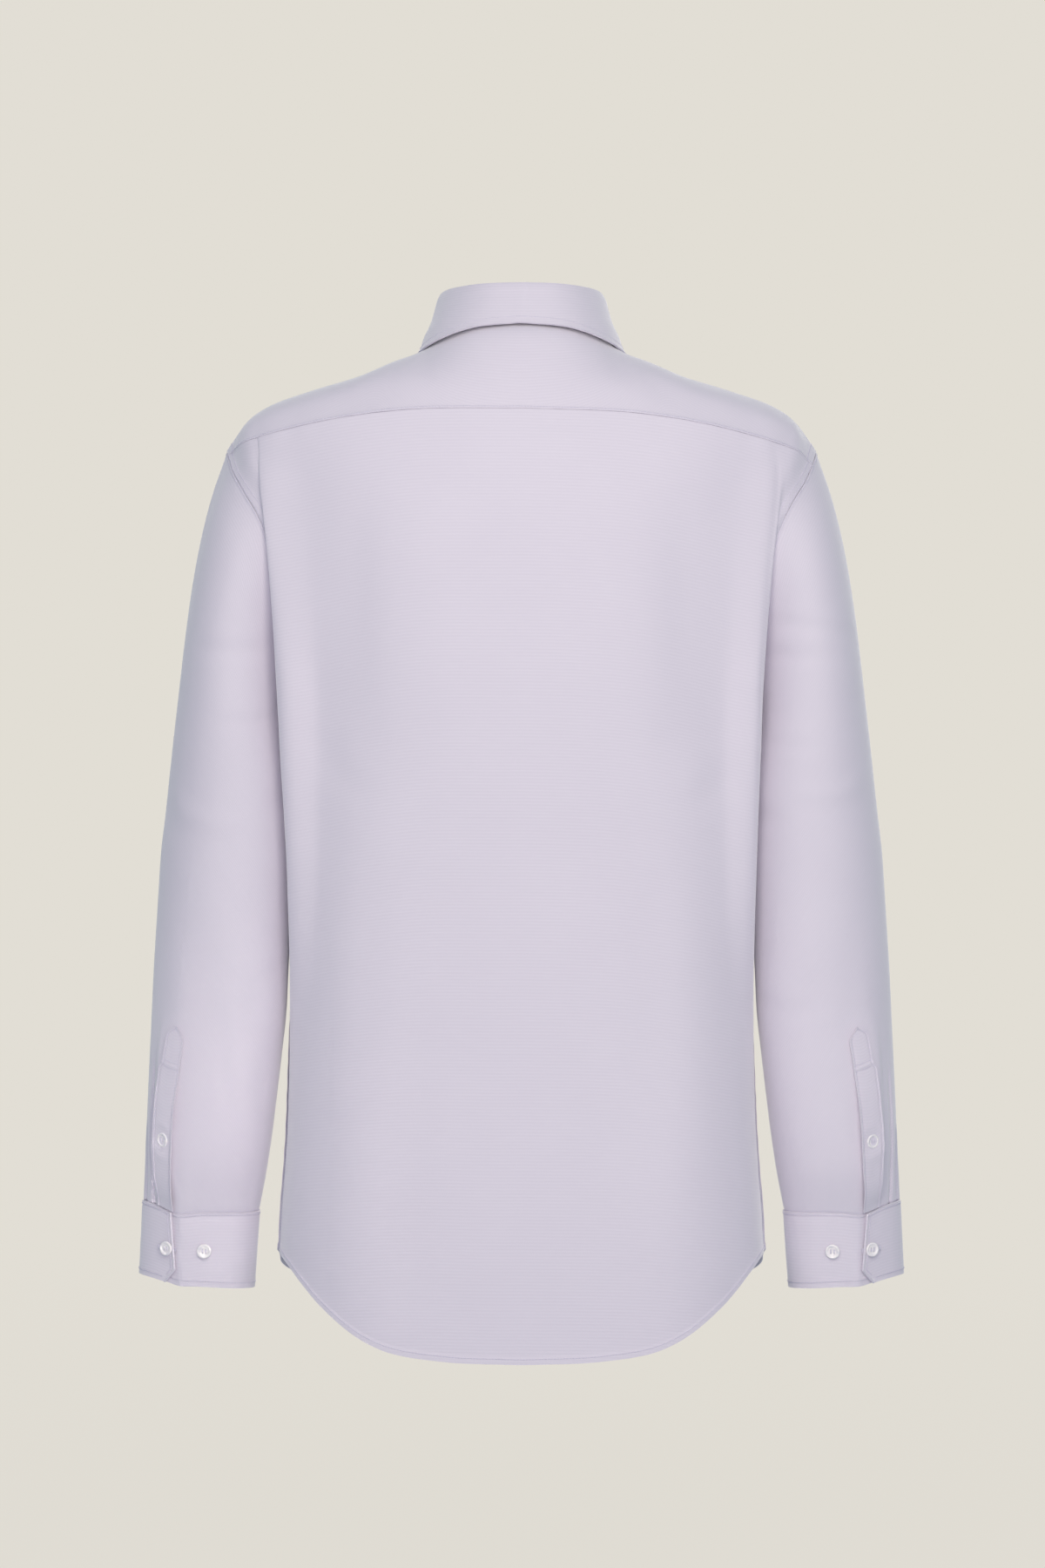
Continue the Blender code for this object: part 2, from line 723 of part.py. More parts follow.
def signed_volume(points, faces):
    corners = np.asarray(points)[np.asarray(faces)]
    return float(np.einsum("ij,ij->i", corners[:, 0], np.cross(corners[:, 1], corners[:, 2])).sum())


def make_material(name, color, roughness):
    material = bpy.data.materials.new(name)
    material.use_nodes = True
    shader = material.node_tree.nodes["Principled BSDF"]
    shader.inputs["Base Color"].default_value = (*color, 1)
    shader.inputs["Roughness"].default_value = roughness
    shader.inputs["Metallic"].default_value = 0.0
    return material


def armhole_inset(z):
    return smooth(ARMHOLE_INSET["z"], ARMHOLE_INSET["inset"], z)


def drawn_at_side(grid):
    """The last column drawn in, along the armhole and then the side seam."""
    grid = grid.copy()
    way = grid[:, -2] - grid[:, -1]
    way /= np.linalg.norm(way, axis=1, keepdims=True)
    distance = np.full(len(grid), SIDE_INSET)
    distance[:ARMHOLE_ROWS + 1] = armhole_inset(grid[:ARMHOLE_ROWS + 1, -1, 2])
    grid[:, -1] += distance[:, None] * way
    return grid


def add_body(cloth):
    """The back, yoke, fronts and front band. Returns the grids that the sleeves need."""
    back, yoke, fronts = back_grid(), yoke_grid(), front_grids()
    seam, end = SEAM_GAP / 2, float(ARMHOLE_INSET["inset"][-1])
    both = drawn_at_side(drawn_at_side(drawn_in(back, top=seam))[:, ::-1])[:, ::-1]
    wall("back", both, CLOTH, cloth)
    folded = drawn_in(yoke, top=seam + 0.2, bottom=seam + 0.15, first=end, last=end)
    wall("yoke", folded, CLOTH, cloth)
    for sign, name in ((-1, "front_left"), (1, "front_right")):
        wall(name, drawn_at_side(drawn_in(fronts[sign], top=seam + 0.2, first=seam)), CLOTH, cloth)
    band = drawn_in(band_grid(), top=BAND_TOP_INSET)
    wall("front_band", band, CLOTH, cloth, lift=CLOTH + LAYER_GAP, around=band * np.array([1, 0, 1]))
    return back, yoke, fronts


def add_sleeves(back, yoke, fronts, cloth):
    for sign, name in ((-1, "left"), (1, "right")):
        loop = armhole_loop(back, yoke, fronts[sign], sign)
        grid = drawn_in(sleeve_grid(loop), bottom=SEAM_GAP / 2)
        way = grid[1] - grid[0]
        way /= np.linalg.norm(way, axis=1, keepdims=True)
        grid[0] += armhole_inset(grid[0, :, 2])[:, None] * way
        grid[..., 0] *= sign
        wall("sleeve_" + name, grid, CLOTH, cloth, closed=True)
        add_gauntlet(name, sign, cloth)
        add_cuff(name, sign, cloth)


def add_gauntlet(name, sign, cloth):
    """The sleeve placket: a strip on the sleeve's back with a pointed top."""
    rows = []
    for z in PLACKET_HEIGHTS:
        turn, half_width = read(PLACKET, "z", "turn half_width", z)
        rows.append([placket_point(name, turn, across * half_width, z) for across in (-1, 0, 1)])
    grid = np.array(rows)
    axis = np.array([[sleeve_axis(z)] * 3 for z in PLACKET_HEIGHTS])
    side = np.array([sign, 1, 1])
    wall("gauntlet_" + name, grid * side, CLOTH, cloth, lift=PLACKET_LIFT, around=axis * side)


def sleeve_axis(z):
    return (sleeve_ring(0, z) + sleeve_ring(math.pi, z)) / 2


def placket_point(name, turn, offset, z):
    """A point on the sleeve at this turn, moved sideways by offset."""
    angle = math.radians(90 - turn - PLACKET_TURN[name])
    step = 0.02
    per_radian = np.linalg.norm(sleeve_ring(angle - step, z) - sleeve_ring(angle + step, z)) / (2 * step)
    return sleeve_ring(angle - offset / per_radian, z)


def cuff_grid(name):
    """The cuff's middle surface, from its outer end once round to the end underneath."""
    rows = []
    turn_more = PLACKET_TURN[name] * CUFF_TURN_SHARE
    for share in CUFF_SHARES:
        end = CUFF_END["top"] + (CUFF_END["bottom"] - CUFF_END["top"]) * share + turn_more
        cut = max(0.0, share - CUFF_SHARES[-2]) / (1 - CUFF_SHARES[-2]) * CUFF_CORNER
        row = []
        for part in np.linspace(0, 1, CUFF_COLUMNS + 1):
            ease = (1 - part) ** 3
            turn = end + cut / CUFF_DEGREE * ease + part * (360 + CUFF_OVERLAP)
            point = cuff_ring(turn, share)
            centre = cuff_ring(turn + 180, share)
            row.append(point + unit(point - centre) * cuff_layer(part))
        rows.append(row)
    return np.array(rows)


def cuff_layer(part):
    """How far out the cuff lies, from the end on top (0) to the end underneath (1)."""
    return CUFF_LAYERS * (0.5 - float(smooth([0, 0.12, 0.88, 1], [0, 0.42, 0.58, 1], part)))


def add_cuff(name, sign, cloth):
    grid = drawn_in(cuff_grid(name), top=SEAM_GAP / 2)
    grid[..., 0] *= sign
    wall("cuff_" + name, grid, CUFF_CLOTH, cloth)


def stand_point(share, up):
    """A point of the collar stand: its share is negative on the wearer's left."""
    side, width = math.copysign(1, share), abs(share)
    if width <= NECK_CORNER:
        low = read(YOKE_FRONT, "share", "x y z", width)
    else:
        low = read(FRONT_TOP, "share", "x y z", FRONT_SHARE - width)
    high = read(STAND_TOP, "share", "x y z", width)
    return mirrored(low + (high - low) * up, side)


def add_collar(cloth):
    half = np.linspace(0, NECK_CORNER, NECK_COLUMNS + 1)
    shares = both_sides(np.concatenate([half, NECK_CORNER + half[1:]]))
    grid = np.array([[stand_point(share, up) for share in shares] for up in (1.0, 0.5, 0.0)])
    wall("collar_stand", drawn_in(lapped(grid), bottom=STAND_INSET), STAND_CLOTH, cloth)
    leaf = np.array([leaf_column(share) for share in shares]).transpose(1, 0, 2)
    wall("collar_leaf", leaf, LEAF_CLOTH, cloth)


def lapped(grid):
    """The stand with one more column at each end, the wearer's left one on top."""
    under = np.array([0.0, -(STAND_CLOTH + LAYER_GAP), 0.0])
    rows = (1.0, 0.5, 0.0)
    tab = np.array([[stand_point(STAND_END_SHARE, up)] for up in rows])
    grid = grid.copy()
    grid[:, -3] += under * 0.3
    grid[:, -2:] += under
    return np.concatenate([tab, grid, flipped(tab) + under], axis=1)


def leaf_column(share):
    """One line of the collar leaf, from the stand's top over the fold to its lower edge."""
    side, width = math.copysign(1, share), abs(share)
    top = read(STAND_TOP, "share", "x y z", width)
    out = unit(np.array([top[0], top[1] + 4, 0.0]))
    top[0] = max(top[0], LEAF_END_X)
    edge = read(LEAF_EDGE, "share", "x y z", width)
    up = np.array([0.0, 0.0, 1.0])
    start = top + up * FOLD_REACH
    crown = top + out * FOLD_OUT / 2 + up * (FOLD_REACH + FOLD_CROWN)
    shoulder = top + out * FOLD_OUT + up * 0.4
    reach = np.linalg.norm(edge - shoulder)
    way = unit(unit(edge - shoulder) + out * 0.2 - up * 0.5)
    end_way = unit(unit(edge - shoulder) + out * 0.1)
    fall = [hermite(t, shoulder, way * reach, edge, end_way * reach) for t in LEAF_STEPS]
    return np.array([mirrored(p, side) for p in [start, crown, *fall]])


def button_shape():
    """Points and faces of a round button with a raised rim, facing +Z."""
    half = BUTTON_THICKNESS / 2
    profile = (
        (BUTTON_RADIUS * 0.62, half - 0.7),
        (BUTTON_RADIUS * 0.8, half),
        (BUTTON_RADIUS, half - 0.6),
        (BUTTON_RADIUS * 0.94, -half),
    )
    points, faces = [(0.0, 0.0, half - 0.7)], []
    for radius, height in profile:
        for k in range(BUTTON_SIDES):
            angle = 2 * math.pi * k / BUTTON_SIDES
            points.append((radius * math.cos(angle), radius * math.sin(angle), height))
    points.append((0.0, 0.0, -half))
    last = len(points) - 1
    base = 1 + (len(profile) - 1) * BUTTON_SIDES
    for k in range(BUTTON_SIDES):
        after = (k + 1) % BUTTON_SIDES
        faces.append((0, 1 + k, 1 + after))
        for ring in range(len(profile) - 1):
            a, b = 1 + ring * BUTTON_SIDES + k, 1 + ring * BUTTON_SIDES + after
            faces += [(a, a + BUTTON_SIDES, b + BUTTON_SIDES), (a, b + BUTTON_SIDES, b)]
        faces.append((base + k, last, base + after))
    return np.array(points) * MM, faces


def add_button(name, centre, out, material):
    """A button with its middle at `centre`, its face turned to `out`."""
    points, faces = button_shape()
    button = add_mesh(name, points, faces, material)
    button.location = Vector(centre) * MM
    button.rotation_euler = Vector(out).to_track_quat("Z", "Y").to_euler()
    return button


def add_sleeve_buttons(name, sign, pearl):
    turn_more = PLACKET_TURN[name]
    z = PLACKET_BUTTON_Z
    turn = float(smooth(PLACKET["z"], PLACKET["turn"], z)) + turn_more
    centre = sleeve_ring(math.radians(90 - turn), z)
    out = surface_out(lambda a, b: sleeve_ring(math.radians(90 - a), b), turn, z)
    centre = centre + out * (PLACKET_LIFT + CLOTH / 2 + BUTTON_SEAT)
    add_button("button_gauntlet_" + name, mirrored(centre, sign), mirrored(out, sign), pearl)
    for label, spot in CUFF_BUTTONS.items():
        turn = spot + turn_more * CUFF_TURN_SHARE
        share = CUFF_BUTTON_SHARE
        out = surface_out(cuff_ring, turn, share)
        part = (spot - (CUFF_END["top"] + CUFF_END["bottom"]) / 2) / (360 + CUFF_OVERLAP)
        lift = cuff_layer(part) + CUFF_CLOTH / 2 + BUTTON_SEAT
        centre = cuff_ring(turn, share) + out * lift
        add_button("button_cuff_" + label + "_" + name, mirrored(centre, sign), mirrored(out, sign), pearl)


def surface_out(ring, turn, at):
    """The outward normal of a ring surface at this turn."""
    along = ring(turn + 1, at) - ring(turn - 1, at)
    down = ring(turn, at) - ring(turn, at + (0.01 if abs(at) <= 1 else -1))
    out = unit(np.cross(along, down))
    return out if out @ (ring(turn, at) - ring(turn + 180, at)) > 0 else -out


def add_front_buttons(pearl):
    middle = front_column(0.0)
    lift = CLOTH + LAYER_GAP + CLOTH / 2 + BUTTON_SEAT
    for k in range(FRONT_BUTTONS):
        z = FRONT_BUTTON_TOP_Z - FRONT_BUTTON_PITCH * k
        y = float(np.interp(-z, -middle[:, 2], middle[:, 1]))
        slope = (float(np.interp(5 - z, -middle[:, 2], middle[:, 1])) - y) / 5
        out = unit(np.array([0.0, 1.0, slope]))
        add_button(f"button_front_{k + 1}", np.array([0.0, y, z]) + out * lift, out, pearl)
    low, high = stand_point(FRONT_SHARE, 0.0), stand_point(FRONT_SHARE, 1.0)
    out = unit(np.cross(np.array([-1.0, 0, 0]), high - low))
    centre = (low + high) / 2 + out * (STAND_CLOTH / 2 + BUTTON_SEAT)
    add_button("button_stand", centre, out, pearl)


def main():
    for thing in list(bpy.data.objects):
        bpy.data.objects.remove(thing, do_unlink=True)
    cloth = make_material("cloth", (0.67, 0.64, 0.76), 0.8)
    pearl = make_material("button", (0.84, 0.82, 0.86), 0.25)
    back, yoke, fronts = add_body(cloth)
    add_sleeves(back, yoke, fronts, cloth)
    add_collar(cloth)
    for sign, name in ((-1, "left"), (1, "right")):
        add_sleeve_buttons(name, sign, pearl)
    add_front_buttons(pearl)


main()
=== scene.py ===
"""The long sleeve dress shirt, dressed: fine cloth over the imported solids, sewing and buttons."""
import math

import bmesh
import bpy
import numpy as np
from mathutils import Matrix, Vector


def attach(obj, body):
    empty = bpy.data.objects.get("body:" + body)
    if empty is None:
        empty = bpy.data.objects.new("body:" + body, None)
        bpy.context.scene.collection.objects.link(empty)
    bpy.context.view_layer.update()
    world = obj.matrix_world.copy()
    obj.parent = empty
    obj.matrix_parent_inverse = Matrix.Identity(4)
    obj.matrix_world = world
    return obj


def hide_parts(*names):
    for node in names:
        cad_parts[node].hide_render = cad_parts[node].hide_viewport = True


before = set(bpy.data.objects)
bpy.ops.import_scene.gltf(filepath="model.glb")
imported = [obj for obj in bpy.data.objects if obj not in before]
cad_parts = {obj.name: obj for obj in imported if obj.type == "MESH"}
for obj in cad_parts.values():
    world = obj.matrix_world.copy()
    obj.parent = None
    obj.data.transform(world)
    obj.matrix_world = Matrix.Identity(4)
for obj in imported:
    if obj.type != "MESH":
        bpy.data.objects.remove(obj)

# The look of the cloth and how its pieces meet, in millimetres
THIN = 0.7                # thickness of the body's and the sleeves' cloth
PROUD = 0.42              # how far a stitch's middle lies off the cloth's middle
HEM = 5.0                 # width of the rolled hem
SEAM_LINE = 0.12          # how far a piece's edge is drawn in at most seams
SIDE_LINE = 0.2           # the same at the side seams
ARMHOLE_LINE = 0.45       # the same where a sleeve's top and the yoke's ends meet
ROUND_ARM = 42.0          # radius by which a sleeve's turn is read as a distance
PLEAT_ZONE = (4.0, 30.0, 0.8)    # where a sleeve's columns lie closer, beside its placket
PLACKET_HALF_WIDTH = 9.6  # the width that shares across the placket are taken from
BAR_Z = -555.0            # height of the bar across the placket
GAUNTLET_SLOPE = 0.3      # how much higher the placket strip's outer side lies
STRIP_STEP = -0.4         # how far outwards the strip lies by its bar
STRIP_LEAN = 0.9          # how much further outwards it runs by the cuff
STRIP_NARROWS = 0.06      # share of its width that the strip loses on the way to the cuff
BOX_SHIFT = -1.8          # how far outwards the pointed box above the bar lies
BOX_NARROWS = 0.14        # share by which the box is narrower than its solid
STRIP_TILT = 3.4          # how far the sleeve stands out by the placket strip's outer side
CORNER_DEPTH = 3.6        # how far the sleeve's outer side by the cuff is pressed flat
FLAT_DEPTH = 6.0          # how far the inner side of the lower sleeve's back is filled out
TRIANGLE_SHIFT = 4.5      # how far the armhole's back edge lies nearer than its solid's
CUFF_MIDDLE = (249.1, 14.0)      # x and y of the middle that a cuff's turn is measured round

# The weave's periods, in metres
WEFT_PITCH = 0.00062
WARP_PITCH = 0.00074
COURSE_PITCH = 0.0024     # the faint rib that shows across the cloth

# The studio: metres, watts and degrees
FLOOR_Z = -0.985
FLOOR_FADE = (0.6, 2.6)
BACKGROUND = (0.760, 0.730, 0.665)
AMBIENT = (0.31, 0.355, 0.42)
KEY_COLOR = (1.0, 0.925, 0.817)
# Each light's name, place, target, size, power and colour
LIGHTS = (
    ("key", (0.11, -1.95, 0.12), (0, 0, -0.32), (1.3, 2.7), 37.4, KEY_COLOR),
    ("left_cuff", (-0.04, -1.9, -0.75), (-0.35, 0, -0.62), (0.3, 0.3), 0.060, KEY_COLOR),
    ("right_cuff", (0.04, -1.9, -0.75), (0.35, 0, -0.62), (0.3, 0.3), 0.026, KEY_COLOR),
    ("front_fill", (0.6, 3.2, 0.6), (0, 0, -0.35), (2.4, 2.4), 40, (1.0, 0.95, 0.88)),
)
CUFF_LIGHT_SPREAD = 11
CAMERA_PLACE = (0.0007, -3.0, -0.340)
VIEW_HALF_HEIGHT = 0.603  # at the plane of the body's middle
SENSOR_HEIGHT = 24.0      # millimetres

MM = 0.001
SIDES = ((-1, "left"), (1, "right"))
EDGES = ("top", "bottom", "first", "last")
UP = np.array([0.0, 0.0, 1.0])

# Cloth and seams
CLOTH = 1.2
CUFF_CLOTH = 2.2
STAND_CLOTH = 2.0
SEAM_GAP = 0.3
LAYER_GAP = 0.5

# Driving sizes
ARMPIT_Z = -262.0
CREASE = 0.8              # share of a half section that lies inside the crease by the arm
NECK_CORNER = 0.4         # share of the yoke's front edge that is neck seam
YOKE_TILT = 0.02          # the yoke seam sits a little lower on the wearer's right
BAND_WIDTH = 32.0
BUTTON_RADIUS = 5.6
BUTTON_THICKNESS = 2.4
CUFF_TOP_Z = -666.0
CUFF_HEIGHT = 57.0
CUFF_CORNER = 12.0
FRONT_BUTTONS = 6
FRONT_BUTTON_TOP_Z = -135.0
FRONT_BUTTON_PITCH = 90.0
ARM_TURN = 0.12           # how far a sleeve's outer side lies forward of its inner side
PLACKET_TURN = {"left": 0.0, "right": -9.0}    # degrees towards the outside
PLACKET_BUTTON_Z = -613.0

# How the pieces meet
BAND_TOP_INSET = 1.6
PLACKET_LIFT = CLOTH + LAYER_GAP
CAP_END_Z = -300.0        # where the sleeve's cap has become a plain tube
FRONT_SHARE = 2 * NECK_CORNER    # the collar's share at the middle of the front
BUTTON_SEAT = BUTTON_THICKNESS / 2 + 0.3
HOLE_PLACE = 1.25         # how far a button's four holes lie off its middle, each way
HOLE_RADIUS = 0.62
BUTTONHOLE_LENGTH = 14.5

# The cuff: its outer end in degrees, what laps under it, and how its layers lie
CUFF_END = {"top": 26.0, "bottom": 15.0}
CUFF_OVERLAP = 31.0
CUFF_TURN_SHARE = 0.7     # how far a cuff follows its placket's turn
CUFF_DEGREE = 0.75        # millimetres to a degree round the cuff
CUFF_LAYERS = 2.9
CORNER_SHARE = 0.78       # how far down a cuff its cut-off corner starts
CUFF_BUTTON_SHARE = 0.515
CUFF_BUTTONS = {"fastened": 30.5, "free": 349.2}    # degrees round the cuff

# The collar: the stand's ends and the leaf's fold over it
STAND_END_SHARE = 0.755
STAND_ROWS = (1.0, 0.5, 0.0)     # shares of its height
FOLD_REACH = 1.5
FOLD_OUT = 3.1
FOLD_CROWN = 1.2
LEAF_STEPS = (0.0, 0.2, 0.4, 0.6, 0.8, 1.0)
LEAF_END_X = 4.0

# How finely the solids' walls are divided
NECK_COLUMNS = 7
SHOULDER_COLUMNS = 3
ARMHOLE_ROWS = 9
BODY_ROWS = 15
BODY_SPREAD = 1.08        # above 1, rows lie closer together by the armpit
YOKE_ROWS = 3
SLEEVE_CAP_ROWS = 8
SLEEVE_ROWS = 12


def table(columns, *rows):
    """A table with named columns, as a dict of arrays."""
    values = np.array(rows, float)
    return {name: values[:, i] for i, name in enumerate(columns.split())}


# Half sections of the body's back and front, by height: the middle's depth, the crease by
# the arm, how flat the cloth comes to it, and how sharply it folds there (0 is not at all)
BACK = table(
    "z middle_y crease_x crease_y flat fold",
    (-770, -117, 186.6, -18, 0.0, 1.0),
    (-700, -117, 185.6, -20, 0.0, 1.0),
    (-655, -116, 183.0, -22, 0.0, 1.0),
    (-615, -115, 180.2, -24, 0.01, 1.0),
    (-575, -114, 178.6, -28, 0.03, 1.0),
    (-520, -113, 177.2, -36, 0.08, 1.0),
    (-475, -113, 176.6, -48, 0.13, 1.0),
    (-420, -113, 177.4, -57, 0.19, 1.0),
    (-330, -116, 179.6, -64, 0.26, 1.0),
    (-265, -119, 181.6, -68, 0.29, 1.0),
    (-200, -120, 186.0, -72, 0.3, 1.0),
    (-150, -118, 191.0, -71, 0.28, 1.0),
    (-122, -115, 194.4, -68.4, 0.24, 0.7),
    (-100, -111.5, 196.8, -65.5, 0.2, 0.12),
    (-80, -108, 198.6, -62, 0.18, 0.0),
    (-50, -101, 200.0, -54, 0.16, 0.0),
)
FRONT = table(
    "z middle_y crease_x crease_y flat fold",
    (-770, 120, 186.6, 18, 0.0, 1.0),
    (-700, 120, 185.6, 20, 0.0, 1.0),
    (-615, 119, 180.2, 24, 0.0, 1.0),
    (-520, 118, 177.2, 34, 0.0, 1.0),
    (-475, 118, 176.2, 46, 0.03, 1.0),
    (-420, 118, 176.6, 55, 0.05, 1.0),
    (-330, 121, 178.0, 62, 0.07, 1.0),
    (-255, 124, 180.2, 66, 0.08, 1.0),
    (-100, 95, 190.0, 60, 0.06, 1.0),
)
SIDE = table(
    "z x y",
    (-770, 187.6, 0),
    (-690, 187.0, 0),
    (-615, 181.6, 0),
    (-520, 177.6, 0),
    (-475, 175.0, 0),
    (-440, 171.5, 0),
    (-394, 167.0, 0),
    (-330, 163.0, 0),
    (-292, 164.5, 0),
    (-276, 167.5, 0),
    (-268, 171.5, 0),
    (-262, 178.5, 0),
)
# The armhole seam, from the top of the shoulder down the back and up the front
ARMHOLE = table(
    "x y z",
    (225.4, -6, -86),
    (222.5, -24, -93),
    (218.0, -39, -104),
    (209.5, -52, -119),
    (199.0, -60, -136),
    (190.5, -61, -158),
    (183.5, -55, -184),
    (179.0, -43, -214),
    (177.2, -24, -243),
    (178.5, 0, ARMPIT_Z),
    (177.2, 24, -243),
    (178.8, 42, -214),
    (183.0, 53, -184),
    (189.5, 57, -158),
    (197.5, 56, -136),
    (206.5, 51, -118),
    (216.0, 37, -103),
    (222.5, 17, -92),
)
ARMPIT_ROW = 9
# The yoke's back seam, by its half width
YOKE_SEAM = table(
    "share z",
    (0.0, -61.0),
    (0.3, -62.5),
    (0.5, -68.0),
    (0.6, -72.0),
    (0.7, -77.0),
    (0.8, -82.5),
    (0.9, -88.5),
    (1.0, -94.0),
)
# The yoke over the shoulder: its ridge line, and its front edge, along the neck to the corner
RIDGE = table(
    "share x y z level",
    (0.0, 0, -83.0, -3.0, 0),
    (0.1, 27, -79.5, -3.5, 0),
    (0.2, 50, -66.5, -5.2, 0.1),
    (0.28, 65, -47.5, -7.0, 0.3),
    (0.34, 72, -28.0, -8.2, 0.7),
    (0.4, 79, -13.0, -12.8, 1),
    (0.5, 105, -12.0, -25.0, 1),
    (0.6, 136, -12.0, -33.6, 1),
    (0.7, 165, -12.0, -42.4, 1),
    (0.8, 191, -12.0, -51.6, 1),
    (0.9, 211, -10.0, -66.0, 1),
    (1.0, 225.4, -6.0, -86.0, 1),
)
YOKE_FRONT = table(
    "share x y z",
    (0.0, 0.0, -66.5, 8.5),
    (0.1, 25.0, -61.5, 8.2),
    (0.2, 45.0, -46.0, 7.0),
    (0.28, 57.0, -25.0, 5.4),
    (0.34, 62.5, -4.0, 3.0),
    (0.4, 63.5, 16.0, -4.0),
    (0.5, 94.0, 25.0, -25.2),
    (0.6, 127.0, 28.0, -35.8),
    (0.7, 158.0, 29.0, -46.1),
    (0.8, 185.0, 28.0, -57.6),
    (0.9, 206.0, 24.0, -74.0),
    (1.0, 222.5, 17.0, -92.0),
)
# The fronts' top edge, from the middle along the neck, and the way the cloth leaves it
FRONT_TOP = table(
    "share x y z way_x way_y way_z",
    (0.0, 0.0, 60.0, -56.5, 0.0, 0.66, -0.75),
    (0.1, 20.0, 56.5, -52.5, 0.08, 0.66, -0.74),
    (0.2, 40.0, 47.0, -41.0, 0.2, 0.68, -0.69),
    (0.3, 56.0, 33.0, -23.0, 0.3, 0.72, -0.62),
    (0.4, 63.5, 16.0, -4.0, 0.3, 0.78, -0.55),
    (0.5, 94.0, 25.0, -25.2, 0.14, 0.8, -0.58),
    (0.6, 127.0, 28.0, -35.8, 0.05, 0.8, -0.6),
    (0.7, 158.0, 29.0, -46.1, 0.0, 0.78, -0.62),
    (0.8, 185.0, 28.0, -57.6, 0.0, 0.75, -0.66),
    (0.9, 206.0, 24.0, -74.0, 0.0, 0.7, -0.7),
    (1.0, 222.5, 17.0, -92.0, -0.05, 0.62, -0.78),
)
BACK_HEM = table(
    "share z",
    (0.0, -769.5),
    (0.22, -767.0),
    (0.36, -759.5),
    (0.43, -750.0),
    (0.5, -737.5),
    (0.56, -724.0),
    (0.62, -711.5),
    (0.68, -702.5),
    (0.73, -697.5),
    (0.84, -697.5),
    (1.0, -698.0),
)
FRONT_HEM = table(
    "share z",
    (0.0, -752.0),
    (0.25, -750.0),
    (0.45, -741.0),
    (0.62, -727.0),
    (0.75, -713.0),
    (0.87, -703.0),
    (1.0, -698.0),
)
# The columns that say how a sleeve or a cuff lies round its middle
RING = "outer inner middle_y half_depth tilt"
# Sleeve rings by height: outer and inner reach, middle and half depth, and the cuff-side tilt
SLEEVE = table(
    "z " + RING,
    (-666, 292.0, 206.0, 14, 35.0, 0.11),
    (-655, 291.0, 203.8, 13, 41.0, 0.10),
    (-635, 290.0, 200.3, 12, 46.0, 0.09),
    (-595, 288.8, 194.5, 9, 51.0, 0.07),
    (-555, 286.8, 189.6, 7, 54.0, 0.05),
    (-515, 284.8, 184.6, 5, 56.0, 0.04),
    (-475, 282.7, 182.2, 3, 58.0, 0.03),
    (-434, 280.0, 179.8, 2, 60.0, 0.02),
    (-394, 277.4, 177.0, 1, 62.0, 0.01),
    (-354, 272.7, 176.6, 0, 63.0, 0.0),
    (-300, 266.8, 181.0, -1, 63.5, 0.0),
    (-270, 262.6, 185.0, -1, 63.5, 0.0),
)
CUFF = table(
    "share " + RING,
    (0.0, 292.6, 205.6, 14, 34.6, 0.11),
    (1.0, 295.4, 209.4, 17, 34.0, 0.12),
)
# Top edge of the collar stand, from the middle of the back (0) round to the front (0.8)
STAND_TOP = table(
    "share x y z",
    (0.0, 0.0, -63.0, 33.0),
    (0.1, 24.0, -58.0, 33.0),
    (0.2, 43.5, -43.0, 32.6),
    (0.28, 55.5, -23.0, 32.2),
    (0.34, 60.5, -3.0, 30.5),
    (0.4, 61.0, 15.0, 24.0),
    (0.5, 53.5, 32.0, 7.0),
    (0.6, 38.5, 46.0, -11.0),
    (0.7, 19.0, 55.0, -22.5),
    (0.8, 0.0, 58.0, -26.5),
)
# Collar leaf's lower edge, from the middle of the back round to the collar point
LEAF_EDGE = table(
    "share x y z",
    (0.0, 0.0, -79.0, 6.4),
    (0.12, 34.0, -76.0, 3.8),
    (0.21, 53.5, -67.5, -0.8),
    (0.3, 67.5, -52.0, -4.8),
    (0.37, 75.5, -30.5, -7.2),
    (0.43, 79.3, -9.0, -8.0),
    (0.51, 81.5, 17.0, -8.6),
    (0.6, 80.5, 45.0, -24.0),
    (0.7, 70.5, 71.0, -52.0),
    (0.8, 50.0, 91.0, -84.0),
)
# The placket along its middle: its turn in degrees from the back, and its half width
PLACKET = table(
    "z turn half_width",
    (-668, 36.0, 9.5),
    (-640, 36.5, 9.6),
    (-606, 37.0, 9.8),
    (-570, 36.0, 9.6),
    (-542, 34.0, 9.6),
    (-534, 33.0, 9.6),
    (-525, 32.0, 0.6),
)


def smooth(xs, ys, at):
    """A smooth curve through the points (xs, ys) that never overshoots them, read at `at`."""
    order = np.argsort(xs)
    xs, ys = np.asarray(xs, float)[order], np.asarray(ys, float)[order]
    steps = np.diff(xs)
    slopes = np.diff(ys) / steps
    inner = (steps[1:] * slopes[:-1] + steps[:-1] * slopes[1:]) / (steps[1:] + steps[:-1])
    limit = 3.0 * np.minimum(np.abs(slopes[:-1]), np.abs(slopes[1:]))
    inner = np.where(slopes[:-1] * slopes[1:] > 0, np.clip(inner, -limit, limit), 0.0)
    tangents = np.concatenate([slopes[:1], inner, slopes[-1:]])
    at = np.clip(np.asarray(at, float), xs[0], xs[-1])
    i = np.clip(np.searchsorted(xs, at) - 1, 0, len(steps) - 1)
    t = (at - xs[i]) / steps[i]
    return hermite(t, ys[i], tangents[i] * steps[i], ys[i + 1], tangents[i + 1] * steps[i])


def hermite(t, start, start_way, end, end_way):
    """The cubic that leaves `start` along `start_way` and reaches `end` along `end_way`."""
    return (
        (2 * t**3 - 3 * t**2 + 1) * start
        + (t**3 - 2 * t**2 + t) * start_way
        + (3 * t**2 - 2 * t**3) * end
        + (t**3 - t**2) * end_way
    )


